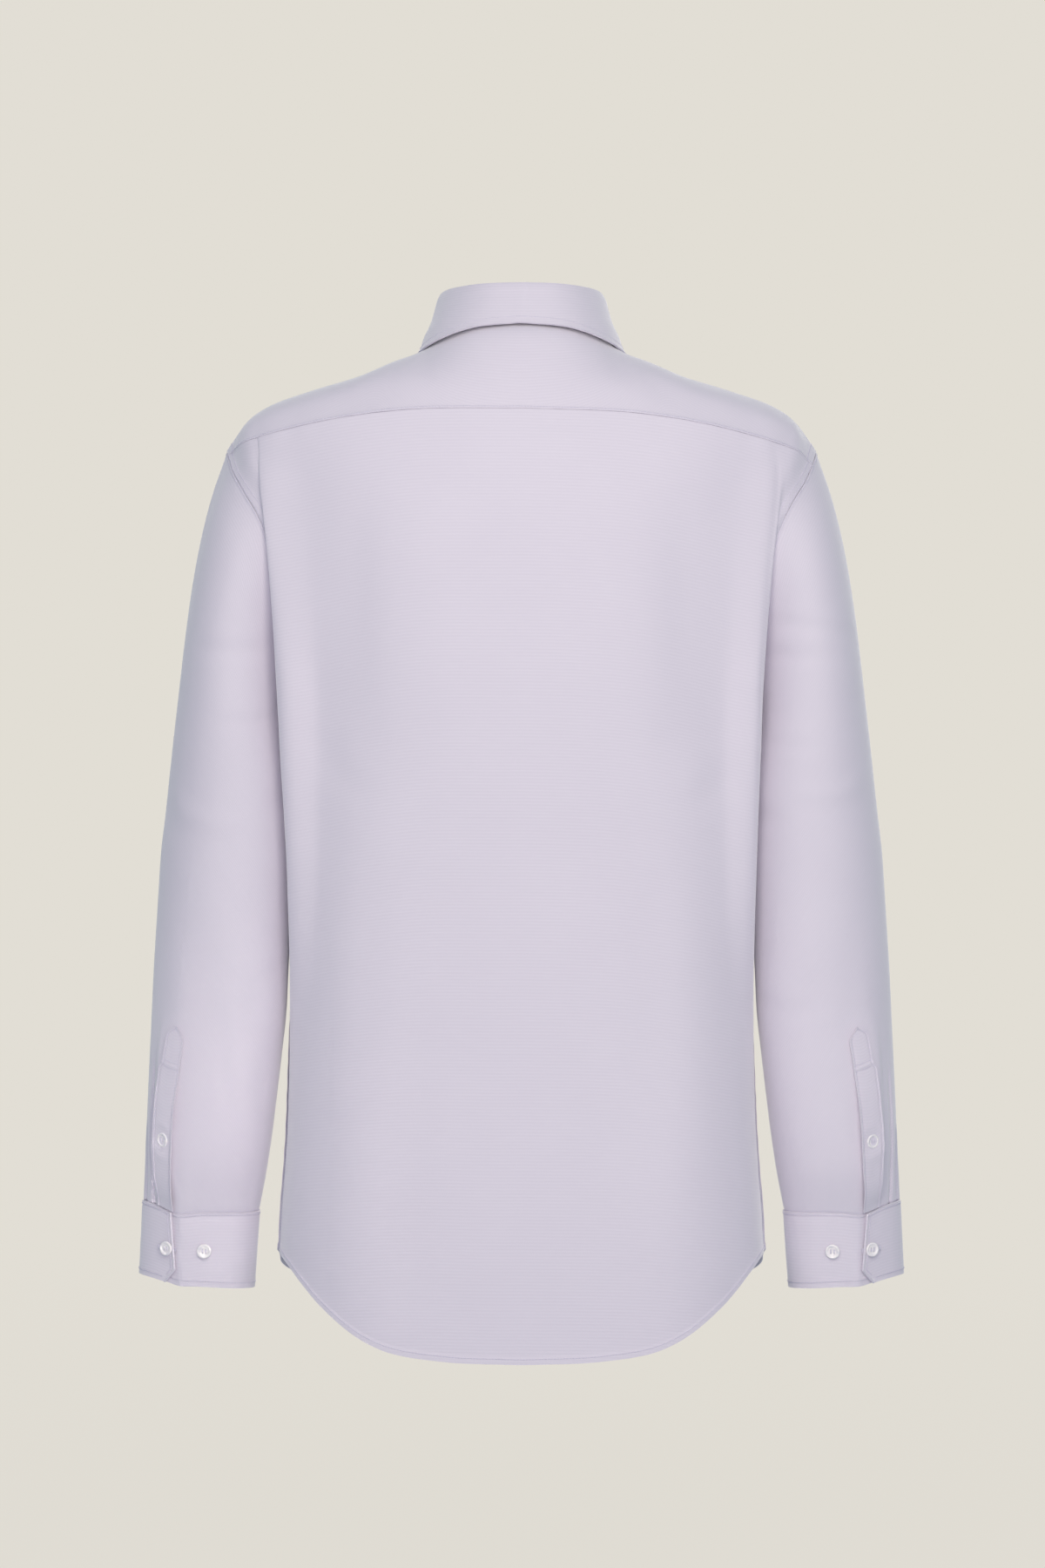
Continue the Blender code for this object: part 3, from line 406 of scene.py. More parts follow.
def bezier(t, first, handle_one, handle_two, last):
    return (
        (1 - t) ** 3 * first
        + 3 * (1 - t) ** 2 * t * handle_one
        + 3 * (1 - t) * t**2 * handle_two
        + t**3 * last
    )


def bell(distance, width):
    """1 in the middle, and falling off softly within about this width."""
    return np.exp(-((distance / width) ** 2))


def read(rows, key, columns, at):
    """The named columns of a table at one value of its key column, as one vector."""
    return np.array([smooth(rows[key], rows[name], at) for name in columns.split()])


def unit(vector):
    return vector / max(np.linalg.norm(vector), 1e-9)


def catmull(points, count):
    """A smooth open curve through the points, as `count` points evenly spaced along it."""
    points = np.asarray(points, float)
    padded = np.vstack([2 * points[0] - points[1], points, 2 * points[-1] - points[-2]])
    fine = []
    for i in range(len(points) - 1):
        before, start, end, after = padded[i:i + 4]
        for t in np.linspace(0, 1, 24, endpoint=False):
            fine.append(hermite(t, start, (end - before) / 2, end, (after - start) / 2))
    fine = np.array(fine + [points[-1]])
    return evenly(fine, np.linspace(0, 1, count))


def evenly(line, shares):
    """Points at these shares of a polyline's length."""
    lengths = np.linalg.norm(np.diff(line, axis=0), axis=1)
    along = np.concatenate([[0], np.cumsum(lengths)])
    along /= along[-1]
    return np.stack([np.interp(shares, along, line[:, k]) for k in range(line.shape[1])], -1)


def armhole_half(face):
    """The armhole seam from the yoke's top down one face to the armpit, finely."""
    loop = np.stack([ARMHOLE["x"], ARMHOLE["y"], ARMHOLE["z"]], -1)
    top = np.array([[RIDGE["x"][-1], RIDGE["y"][-1], RIDGE["z"][-1]]])
    if face == "back":
        return catmull(loop[:ARMPIT_ROW + 1], 400)
    return catmull(np.vstack([top, loop[:ARMPIT_ROW - 1:-1]]), 400)


HALF_SEAMS = {face: armhole_half(face) for face in ("back", "front")}


def section_end(face, z):
    """Where a half section ends: on the armhole seam, or below it on the side seam."""
    if z <= ARMPIT_Z:
        return read(SIDE, "z", "x y", z)
    seam = HALF_SEAMS[face][::-1]
    return np.array([np.interp(z, seam[:, 2], seam[:, 0]), np.interp(z, seam[:, 2], seam[:, 1])])


def section(face, share, z):
    """A point of the body's back or front at height z, from the middle (0) to the side (1)."""
    rows = BACK if face == "back" else FRONT
    columns = "middle_y crease_x crease_y flat fold"
    middle_y, crease_x, crease_y, flat, fold = read(rows, "z", columns, z)
    t = np.linspace(0, 1, 61)[:, None]
    depth = middle_y - crease_y
    bow = np.array([crease_x * (1 - flat), crease_y + (0.62 - 1.2 * flat) * depth])
    if share <= CREASE:
        first, last = np.array([0, middle_y]), np.array([crease_x, crease_y])
        handles = np.array([0.66 * crease_x, middle_y]), bow
        part = share / CREASE
    else:
        first, last = np.array([crease_x, crease_y]), section_end(face, z)
        reach = np.linalg.norm(last - first) / 3
        folded = np.array([0, -np.sign(middle_y)])
        way = unit(fold * folded + (1 - fold) * unit(first - bow))
        handles = first + way * reach, last - (last - first) / 3
        part = (share - CREASE) / (1 - CREASE)
    line = bezier(t, first, *handles, last)
    x, y = evenly(line, np.array([part]))[0]
    return np.array([x, y, z])


def mirrored(point, side):
    """The point on the wearer's left (-1) or right (+1)."""
    return np.array([point[0] * side, point[1], point[2]])


def flipped(points):
    return points * np.array([-1.0, 1.0, 1.0])


def yoke_seam_z(share):
    """Height of the yoke's back seam; the share is negative on the wearer's left."""
    width = abs(share)
    return float(smooth(YOKE_SEAM["share"], YOKE_SEAM["z"], width)) - YOKE_TILT * 200 * share


def armhole_rows(face, top_z):
    """Heights of the armhole's rows, evenly spaced along the seam from top_z to the armpit."""
    seam = HALF_SEAMS[face]
    below = seam[seam[:, 2] <= top_z]
    return evenly(below, np.linspace(0, 1, ARMHOLE_ROWS + 1))[:, 2]


def armhole_shares(edge_z, share):
    """Shares down the armhole's rows: even at the middle, and the seam's own at the side."""
    at_edge = (edge_z - edge_z[0]) / (edge_z[-1] - edge_z[0])
    even = np.linspace(0, 1, ARMHOLE_ROWS + 1)
    return (1 - share**4) * even + share**4 * at_edge, at_edge


def below_armpit(hem_z):
    """Heights of the rows from the armpit down to the hem."""
    return ARMPIT_Z + (hem_z - ARMPIT_Z) * np.linspace(0, 1, BODY_ROWS + 1)[1:] ** BODY_SPREAD


def row_heights(top_z, edge_z, hem_z, share):
    """Heights down one column: over the armhole, then from the armpit to the hem."""
    upper = top_z + (ARMPIT_Z - top_z) * armhole_shares(edge_z, share)[0]
    return np.concatenate([upper, below_armpit(hem_z)])


def half_shares():
    """Shares from the middle to the side, with one at the neck corner and the crease."""
    neck = np.linspace(0, NECK_CORNER, NECK_COLUMNS + 1)
    shoulder = np.linspace(NECK_CORNER, CREASE, SHOULDER_COLUMNS + 1)[1:]
    beyond = CREASE + (1 - CREASE) * np.array([0.2, 0.45, 0.72, 1.0])
    return np.concatenate([neck, shoulder, beyond])


def both_sides(half):
    """The shares of both halves, negative on the wearer's left."""
    return np.concatenate([-half[:0:-1], half])


def back_grid():
    """The back's middle surface, rows from the yoke seam to the hem, left to right."""
    grid = []
    for share in both_sides(half_shares()):
        width, side = abs(share), math.copysign(1, share)
        edge_z = armhole_rows("back", yoke_seam_z(side))
        hem_z = float(smooth(BACK_HEM["share"], BACK_HEM["z"], width))
        heights = row_heights(yoke_seam_z(share), edge_z, hem_z, width)
        grid.append([mirrored(section("back", width, z), side) for z in heights])
    return np.array(grid).transpose(1, 0, 2)


def front_upper(share, t):
    """A front's surface over the armhole, from its top edge (0) to the armpit's level (1)."""
    top = read(FRONT_TOP, "share", "x y z", share)
    way = unit(read(FRONT_TOP, "share", "way_x way_y way_z", share))
    low = section("front", share, ARMPIT_Z)
    low_way = low - section("front", share, ARMPIT_Z - 12)
    low_way[0] *= 1 - seam_share(share)
    reach = np.linalg.norm(low - top)
    return hermite(t, top, way * reach, low, -unit(low_way) * reach)


def seam_share(share):
    """How much the armhole seam leads a front's upper part, rising towards the side."""
    return float(np.clip((share - 0.7) / 0.3, 0, 1))


def front_column(share):
    """One column of a front, from its top edge to the hem, on the wearer's right."""
    edge_z = armhole_rows("front", float(YOKE_FRONT["z"][-1]))
    shares, at_edge = armhole_shares(edge_z, share)
    lead = seam_share(share)
    upper = []
    for k, t in enumerate(shares):
        point = front_upper(share, t)
        if lead and 0 < k < ARMHOLE_ROWS:
            point += lead * (section("front", 1.0, edge_z[k]) - front_upper(1.0, at_edge[k]))
        upper.append(point)
    hem_z = float(smooth(FRONT_HEM["share"], FRONT_HEM["z"], share))
    return np.array(upper + [section("front", share, z) for z in below_armpit(hem_z)])


def front_half():
    """A whole front's middle surface on the wearer's right, from the middle to the side."""
    return np.array([front_column(share) for share in half_shares()]).transpose(1, 0, 2)


def at_width(half, x):
    """The column of a front's surface at this distance from the middle."""
    return np.array([[x] + [np.interp(x, row[:, 0], row[:, k]) for k in (1, 2)] for row in half])


def front_grids():
    """The fronts, from the band's edge to the side. The wearer's right one runs under it."""
    half = front_half()
    edge = at_width(half, BAND_WIDTH / 2)[:, None]
    left = flipped(np.concatenate([edge, half[:, 2:]], axis=1))
    right = np.concatenate([flipped(edge), half], axis=1)
    return {-1: left, 1: right}


def band_grid():
    """The front band's middle surface, from edge to edge down the fronts' middle."""
    half = front_half()
    reach = BAND_WIDTH / 2 - SEAM_GAP
    outer, inner, middle = (at_width(half, x) for x in (reach, reach / 2, 0.0))
    return np.stack([flipped(outer), flipped(inner), middle, inner, outer], axis=1)


def yoke_column(share):
    """One line of the yoke, from its back seam over the shoulder to its front edge."""
    width, side = abs(share), math.copysign(1, share)
    seam_z = yoke_seam_z(share)
    start = section("back", width, seam_z)
    start_way = unit(section("back", width, seam_z + 6) - section("back", width, seam_z - 6))
    ridge = read(RIDGE, "share", "x y z", width)
    end = read(YOKE_FRONT, "share", "x y z", width)
    across = end - start
    across[2] *= 1 - float(smooth(RIDGE["share"], RIDGE["level"], width))
    ridge_way = unit(across)
    if width >= NECK_CORNER:
        end_way = unit(read(FRONT_TOP, "share", "way_x way_y way_z", width))
    else:
        end_way = unit(end - ridge)
    points = []
    for first, way_out, last, way_in in (
        (start, start_way, ridge, ridge_way),
        (ridge, ridge_way, end, end_way),
    ):
        reach = np.linalg.norm(last - first)
        for t in np.linspace(0, 1, YOKE_ROWS, endpoint=False):
            points.append(hermite(t, first, way_out * reach, last, way_in * reach))
    return np.array([mirrored(p, side) for p in points + [end]])


def yoke_grid():
    shares = both_sides(half_shares())
    return np.array([yoke_column(share) for share in shares]).transpose(1, 0, 2)[::-1]


def ring_point(angle, z, outer, inner, middle_y, half_depth, tilt):
    across = (outer - inner) / 2 * math.cos(angle)
    x = (outer + inner) / 2 + across
    y = middle_y - half_depth * math.sin(angle) + ARM_TURN * across
    return np.array([x, y, z + tilt * across])


def sleeve_ring(angle, z):
    """A point of a hanging sleeve: the angle runs from its outside (0) round the back."""
    return ring_point(angle, z, *read(SLEEVE, "z", RING, z))


def armhole_loop(back, yoke, front, side):
    """The armhole's points, from the ridge down the back to the armpit and up the front."""
    column = -1 if side > 0 else 0
    over = yoke[::-1, column]
    down = back[:ARMHOLE_ROWS + 1, column]
    up = front[:ARMHOLE_ROWS + 1, -1][::-1]
    loop = [over[k] for k in range(YOKE_ROWS, 0, -1)] + list(down) + list(up[1:])
    loop += [over[k] for k in range(len(over) - 2, YOKE_ROWS, -1)]
    return np.array([mirrored(p, side) for p in loop])


def sleeve_grid(loop):
    """A sleeve's middle surface on the wearer's right, from the armhole seam to the cuff."""
    lengths = np.linalg.norm(np.diff(np.vstack([loop, loop[:1]]), axis=0), axis=1)
    armpit = YOKE_ROWS + ARMHOLE_ROWS
    along = np.concatenate([[0], np.cumsum(lengths)])
    half = along[armpit]
    columns = []
    for i, start in enumerate(loop):
        if i <= armpit:
            angle = math.pi * along[i] / half
        else:
            angle = math.pi * (1 + (along[i] - half) / (along[-1] - half))
        columns.append(sleeve_column(start, angle))
    return np.array(columns).transpose(1, 0, 2)


def sleeve_column(start, angle):
    """One line down a sleeve, leaving the armhole seam outwards and turning down."""
    end = sleeve_ring(angle, CAP_END_Z)
    end_way = unit(sleeve_ring(angle, CAP_END_Z - 10) - end)
    top_share = (1 + math.cos(angle)) / 2
    back_share = math.sin(angle)
    way = unit(np.array([
        0.95 - 0.59 * top_share,
        -0.3 * back_share,
        -0.3 - 0.55 * top_share,
    ]))
    reach = np.linalg.norm(end - start)
    start_reach = reach * (0.35 + 0.6 * top_share)
    shares = np.linspace(0, 1, SLEEVE_CAP_ROWS, endpoint=False) ** 0.95
    cap = [hermite(t, start, way * start_reach, end, end_way * reach) for t in shares]
    heights = CAP_END_Z + (CUFF_TOP_Z - CAP_END_Z) * np.linspace(0, 1, SLEEVE_ROWS + 1)
    return np.array(cap + [sleeve_ring(angle, z) for z in heights])


def sleeve_axis(z):
    return (sleeve_ring(0, z) + sleeve_ring(math.pi, z)) / 2


def placket_point(name, turn, offset, z):
    """A point on the sleeve at this turn, moved outwards round it by offset."""
    angle = math.radians(90 - turn - PLACKET_TURN[name])
    step = 0.02
    chord = sleeve_ring(angle - step, z) - sleeve_ring(angle + step, z)
    return sleeve_ring(angle - offset * 2 * step / np.linalg.norm(chord), z)


def cuff_z(share):
    """Height at this share of the way down a cuff, before its tilt."""
    return CUFF_TOP_Z - SEAM_GAP - CUFF_HEIGHT * share


def cuff_ring(turn, share):
    """A point of the cuff: turn in degrees from straight back towards the outside."""
    return ring_point(math.radians(90 - turn), cuff_z(share), *read(CUFF, "share", RING, share))


def cuff_layer(part):
    """How far out the cuff lies, from the end on top (0) to the end underneath (1)."""
    return CUFF_LAYERS * (0.5 - float(smooth([0, 0.12, 0.88, 1], [0, 0.42, 0.58, 1], part)))


def stand_point(share, up):
    """A point of the collar stand: its share is negative on the wearer's left."""
    side, width = math.copysign(1, share), abs(share)
    if width <= NECK_CORNER:
        low = read(YOKE_FRONT, "share", "x y z", width)
    else:
        low = read(FRONT_TOP, "share", "x y z", FRONT_SHARE - width)
    high = read(STAND_TOP, "share", "x y z", width)
    return mirrored(low + (high - low) * up, side)


def lapped(grid):
    """The stand with one more column at each end, the wearer's left one on top."""
    under = np.array([0.0, -(STAND_CLOTH + LAYER_GAP), 0.0])
    tab = np.array([[stand_point(STAND_END_SHARE, up)] for up in STAND_ROWS])
    grid = grid.copy()
    grid[:, -3] += under * 0.3
    grid[:, -2:] += under
    return np.concatenate([tab, grid, flipped(tab) + under], axis=1)


def leaf_column(share):
    """One line of the collar leaf, from the stand's top over the fold to its lower edge."""
    side, width = math.copysign(1, share), abs(share)
    top = read(STAND_TOP, "share", "x y z", width)
    out = unit(np.array([top[0], top[1] + 4, 0.0]))
    top[0] = max(top[0], LEAF_END_X)
    edge = read(LEAF_EDGE, "share", "x y z", width)
    start = top + UP * FOLD_REACH
    crown = top + out * FOLD_OUT / 2 + UP * (FOLD_REACH + FOLD_CROWN)
    shoulder = top + out * FOLD_OUT + UP * 0.4
    reach = np.linalg.norm(edge - shoulder)
    way = unit(unit(edge - shoulder) + out * 0.2 - UP * 0.5)
    end_way = unit(unit(edge - shoulder) + out * 0.1)
    fall = [hermite(t, shoulder, way * reach, edge, end_way * reach) for t in LEAF_STEPS]
    return np.array([mirrored(p, side) for p in [start, crown, *fall]])


def surface_out(ring, turn, at):
    """The outward normal of a ring surface at this turn."""
    along = ring(turn + 1, at) - ring(turn - 1, at)
    down = ring(turn, at) - ring(turn, at + (0.01 if abs(at) <= 1 else -1))
    out = unit(np.cross(along, down))
    return out if out @ (ring(turn, at) - ring(turn + 180, at)) > 0 else -out


def drawn_in(grid, top=0.0, bottom=0.0, first=0.0, last=0.0):
    """The grid with its edges drawn in by these distances, for the gaps at its seams."""
    grid = grid.copy()
    for edge, inner, distance in ((0, 1, top), (-1, -2, bottom)):
        way = grid[inner] - grid[edge]
        grid[edge] += distance * way / np.linalg.norm(way, axis=1, keepdims=True)
    for edge, inner, distance in ((0, 1, first), (-1, -2, last)):
        way = grid[:, inner] - grid[:, edge]
        grid[:, edge] += distance * way / np.linalg.norm(way, axis=1, keepdims=True)
    return grid


# ---------------------------------------------------------------------------
# Fine surfaces made from the same grids


def chords(grid, axis, closed=False):
    """Mean distances between a grid's neighbouring rows (axis 0) or columns (axis 1), in mm."""
    lines = np.moveaxis(grid, axis, 0)
    if closed:
        lines = np.concatenate([lines, lines[:1]])
    return np.linalg.norm(np.diff(lines, axis=0), axis=2).mean(axis=1)


def stations(total, step, near_first=False, near_last=False):
    """Distances at which a grid is cut, in mm, closer together at the edges asked for."""
    edge = np.array([0.0, 0.7, 1.4, 2.2, 3.2, 4.4, 5.4, 6.4, 8.0])
    first = edge if near_first else np.array([0.0])
    last = total - (edge if near_last else np.array([0.0]))[::-1]
    inner = last[0] - first[-1]
    count = max(2, int(round(inner / step)) + 1)
    return np.concatenate([first[:-1], np.linspace(first[-1], last[0], count), last[1:]])


def finer(grid, at, axis, closed=False):
    """The grid cut at these distances along one axis, on a smooth curve through its points."""
    lines = np.moveaxis(grid, axis, 0)
    steps = chords(grid, axis, closed)
    if closed:
        lines = np.concatenate([lines[-2:], lines, lines[:3]])
        steps = np.concatenate([steps[-2:], steps, steps[:2]])
        knots = np.concatenate([[0], np.cumsum(steps)]) - steps[:2].sum()
    else:
        knots = np.concatenate([[0], np.cumsum(steps)])
    slopes = np.diff(lines, axis=0) / steps[:, None, None]
    before, after = steps[:-1, None, None], steps[1:, None, None]
    inner = (after * slopes[:-1] + before * slopes[1:]) / (before + after)
    tangents = np.concatenate([slopes[:1], inner, slopes[-1:]])
    i = np.clip(np.searchsorted(knots, at, side="right") - 1, 0, len(steps) - 1)
    h = steps[i][:, None, None]
    t = ((at - knots[i])[:, None, None]) / h
    fine = hermite(t, lines[i], tangents[i] * h, lines[i + 1], tangents[i + 1] * h)
    return np.moveaxis(fine, 0, axis)


# Where columns lie beside a crease, from its middle
CREASE_COLUMNS = np.array([-5.2, -3.6, -2.5, -1.8, -1.3, -0.9, -0.5, 0.0,
                           0.5, 0.9, 1.3, 1.8, 2.5, 3.6, 5.2])


def fine_grid(grid, step, edges="", closed=False, closer=()):
    """A grid cut finely both ways.

    `edges` holds the first letters of the edges that get closer rows. `closer` says where
    columns lie closer: round a closed grid from, to and step, and else each crease's place.
    """
    wide = chords(grid, 1, closed).sum()
    if closed:
        across = np.linspace(0, wide, int(wide / step), endpoint=False)
        inside = (across > closer[0]) & (across < closer[1])
        across = np.sort(np.concatenate([across[~inside], np.arange(*closer)]))
    else:
        across = stations(wide, step, "f" in edges, "l" in edges)
        for middle in closer:
            across = across[abs(across - middle) > 7]
            across = np.sort(np.concatenate([across, middle + CREASE_COLUMNS]))
    cut = finer(grid, across, 1, closed)
    down = stations(chords(cut, 0).sum(), step, "t" in edges, "b" in edges)
    return finer(cut, down, 0)


def run(grid, edge):
    """Each point's distance along the cloth from one edge: top, bottom, first or last."""
    axis = 0 if edge in ("top", "bottom") else 1
    lines = np.moveaxis(grid, axis, 0)
    if edge in ("bottom", "last"):
        lines = lines[::-1]
    steps = np.linalg.norm(np.diff(lines, axis=0), axis=2)
    along = np.concatenate([np.zeros_like(steps[:1]), np.cumsum(steps, axis=0)])
    if edge in ("bottom", "last"):
        along = along[::-1]
    return np.moveaxis(along, 0, axis)


def step_down(distance, at, soft=0.9):
    """1 within this distance of an edge and 0 beyond it, with a soft shoulder."""
    t = np.clip((distance - at + soft) / (2 * soft), 0, 1)
    return 1 - t * t * (3 - 2 * t)


def ripple(along, pitch, seed):
    """An uneven wave along a line, of height about one."""
    rng = np.random.default_rng(seed)
    low, high = float(np.min(along)), float(np.max(along))
    knots, heights, sign = [low - 3 * pitch], [0.0], 1.0
    while knots[-1] < high + 3 * pitch:
        knots.append(knots[-1] + pitch * rng.uniform(0.55, 1.5))
        heights.append(sign * rng.uniform(0.3, 1.0))
        sign = -sign
    knots, heights = np.array(knots), np.array(heights)
    i = np.clip(np.searchsorted(knots, along) - 1, 0, len(knots) - 2)
    t = (along - knots[i]) / (knots[i + 1] - knots[i])
    t = t * t * (3 - 2 * t)
    return heights[i] * (1 - t) + heights[i + 1] * t


def seam(distance, along, width, height, seed, pucker=0.3, pitch=9.0):
    """A seam's raised allowance, with its cloth drawn up unevenly beside it."""
    drawn = pucker * ripple(along, pitch, seed) * np.exp(-distance / (1.6 * width + 4))
    return height * step_down(distance, width) + drawn


def creases(a, b, rows, ridge=0.38):
    """Soft creases as troughs (depth below 0) and ridges: each is width, depth, then points."""
    total = np.zeros_like(a)
    for width, depth, *points in rows:
        line = catmull(np.array(points, float), 24)
        best, where, side = np.full(a.shape, 1e9), np.zeros_like(a), np.zeros_like(a)
        for k in range(len(line) - 1):
            way = line[k + 1] - line[k]
            long = max(float(np.hypot(*way)), 1e-6)
            da, db = a - line[k][0], b - line[k][1]
            t = np.clip((da * way[0] + db * way[1]) / long**2, 0, 1)
            gap = np.hypot(da - t * way[0], db - t * way[1])
            near = gap < best
            best = np.where(near, gap, best)
            where = np.where(near, (k + t) / (len(line) - 1), where)
            side = np.where(near, np.sign(da * way[1] - db * way[0]), side)
        fade = np.sin(math.pi * np.clip(where, 0, 1)) ** 0.8
        across = side * best / width
        total += depth * fade * (bell(across, 1) - ridge * bell(across - 1.9, 1.3))
    return total


def outward(grid, closed=False, around=None):
    """A grid's unit normals, which point away from the points `around` where these are given."""
    if closed:
        across = np.roll(grid, -1, axis=1) - np.roll(grid, 1, axis=1)
    else:
        across = np.gradient(grid, axis=1)
    out = np.cross(np.gradient(grid, axis=0), across)
    out /= np.maximum(np.linalg.norm(out, axis=2, keepdims=True), 1e-9)
    if around is not None and np.einsum("ijk,ijk->", out, grid - around) < 0:
        return -out
    return out


def displaced(grid, amount, closed=False, around=None):
    """The grid moved along its outward normals by these amounts in mm."""
    if np.ndim(amount) == 2:
        amount = amount[..., None]
    return grid + outward(grid, closed, around) * amount


def line_inside(grid, edge, distance, out_by=0.0, closed=False, around=None):
    """The line on a grid that runs this far from one edge, lifted off the cloth."""
    axis = 0 if edge in ("top", "bottom") else 1
    away = np.moveaxis(run(grid, edge), axis, 0)
    lines = np.moveaxis(displaced(grid, out_by, closed, around), axis, 0)
    if edge in ("bottom", "last"):
        away, lines = away[::-1], lines[::-1]
    found = [[np.interp(distance, away[:, k], lines[:, k, i]) for i in range(3)]
             for k in range(lines.shape[1])]
    return np.array(found + found[:1] if closed else found)


# ---------------------------------------------------------------------------
# Pieces made from them


def shell(node, grid, thickness, around, closed=False):
    """A piece of cloth in a node's place: a thin closed wall on a grid, in metres.

    Its UV runs along the cloth's own two directions.
    """
    out = outward(grid, closed, around)
    walls = [(grid + out * side * thickness / 2).reshape(-1, 3) for side in (1, -1)]
    points = np.vstack(walls) * MM
    under = len(walls[0])
    down = np.arange(under).reshape(grid.shape[:2])
    right = np.roll(down, -1, axis=1) if closed else down[:, 1:]
    left = down if closed else down[:, :-1]
    quads = np.stack([left[:-1], left[1:], right[1:], right[:-1]], -1).reshape(-1, 4)
    rims = [(left[0], right[0], True), (left[-1], right[-1], False)]
    if not closed:
        rims += [(down[:-1, 0], down[1:, 0], False), (down[:-1, -1], down[1:, -1], True)]
    faces = np.concatenate([quads, quads[:, ::-1] + under, *[rim(*r, under) for r in rims]])
    if signed_volume(points, faces) < 0:
        faces = faces[:, ::-1]
    round_about = 0.0
    u = run(grid, "first")
    if closed:
        steps = chords(grid, 1, True)
        round_about = float(steps.sum()) * MM
        u = np.broadcast_to(np.concatenate([[0], np.cumsum(steps[:-1])]), down.shape)
    uv = np.stack([u.ravel(), -run(grid, "top").ravel()], -1) * MM
    mesh = mesh_of("fine_" + node, points, faces, CLOTH_SKIN, 50)
    add_uv(mesh, np.concatenate([uv, uv]), round_about)
    piece = placed("fine_" + node, mesh, replaces=[node])


def rim(first, second, turned, under):
    """Quads that close a wall's edge between its outside and its inside."""
    if turned:
        first, second = second, first
    return np.stack([second, first, first + under, second + under], -1)


def signed_volume(points, faces):
    total = 0.0
    for k in (1, 2):
        a, b, c = points[faces[:, 0]], points[faces[:, k]], points[faces[:, k + 1]]
        total += float(np.einsum("ij,ij->i", a, np.cross(b, c)).sum())
    return total


def mesh_of(name, points, faces, material, smooth_angle=30):
    """A mesh in one material, sharp where its faces meet at more than this angle."""
    mesh = bpy.data.meshes.new(name)
    mesh.from_pydata(np.asarray(points).tolist(), [], np.asarray(faces).tolist())
    mesh.shade_smooth()
    mesh.set_sharp_from_angle(angle=math.radians(smooth_angle))
    mesh.materials.append(material)
    return mesh


def add_uv(mesh, uv, wrap):
    """The points' places on the cloth as UV. A tube's seam runs on past `wrap`, its length round."""
    layer = mesh.uv_layers.new(name="cloth")
    corners = np.empty(len(mesh.loops), int)
    mesh.loops.foreach_get("vertex_index", corners)
    on_cloth = uv[corners].reshape(-1, 4, 2)
    if wrap:
        u = on_cloth[..., 0]
        split = np.ptp(u, axis=1) > wrap / 2
        u[split[:, None] & (u < wrap / 2)] += wrap
    layer.uv.foreach_set("vector", on_cloth.ravel())


def placed(name, mesh, replaces=()):
    """A mesh as a piece that rides on the one body, shown in place of these nodes."""
    piece = bpy.data.objects.new(name, mesh)
    bpy.context.scene.collection.objects.link(piece)
    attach(piece, "root")
    for node in replaces:
        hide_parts(node)
    return piece


def thread(lines, pitch=2.3, length=1.75, width=0.42):
    """Stitches along lines: each a small bar of four sides, with a gap before the next."""
    points, faces = [], []
    box = np.array([(0, 1, 3, 2), (4, 6, 7, 5), (0, 4, 5, 1),
                    (2, 3, 7, 6), (0, 2, 6, 4), (1, 5, 7, 3)])
    for line in lines:
        steps = np.linalg.norm(np.diff(line, axis=0), axis=1)
        along = np.concatenate([[0], np.cumsum(steps)])
        starts = np.arange(0.3, along[-1] - length, pitch)
        if not len(starts):
            continue
        a = np.stack([np.interp(starts, along, line[:, i]) for i in range(3)], -1)
        b = np.stack([np.interp(starts + length, along, line[:, i]) for i in range(3)], -1)
        way = b - a
        way /= np.maximum(np.linalg.norm(way, axis=1, keepdims=True), 1e-9)
        side = np.cross(way, [0.31, 0.87, 0.39])
        side /= np.linalg.norm(side, axis=1, keepdims=True)
        up = np.cross(way, side)
        corners = [end + (s * side + t * up) * width / 2
                   for end in (a, b) for s in (-1, 1) for t in (-1, 1)]
        corners = np.stack(corners, 1)
        base = sum(len(p) for p in points) + 8 * np.arange(len(a))
        points.append(corners.reshape(-1, 3))
        faces.append((box[None] + base[:, None, None]).reshape(-1, 4))
    return np.concatenate(points) * MM, np.concatenate(faces)


def add_stitches(name, lines, **sizes):
    """All the stitches of one piece, as a piece of their own."""
    points, faces = thread(lines, **sizes)
    placed("stitches_" + name, mesh_of("stitches_" + name, points, faces, THREAD))


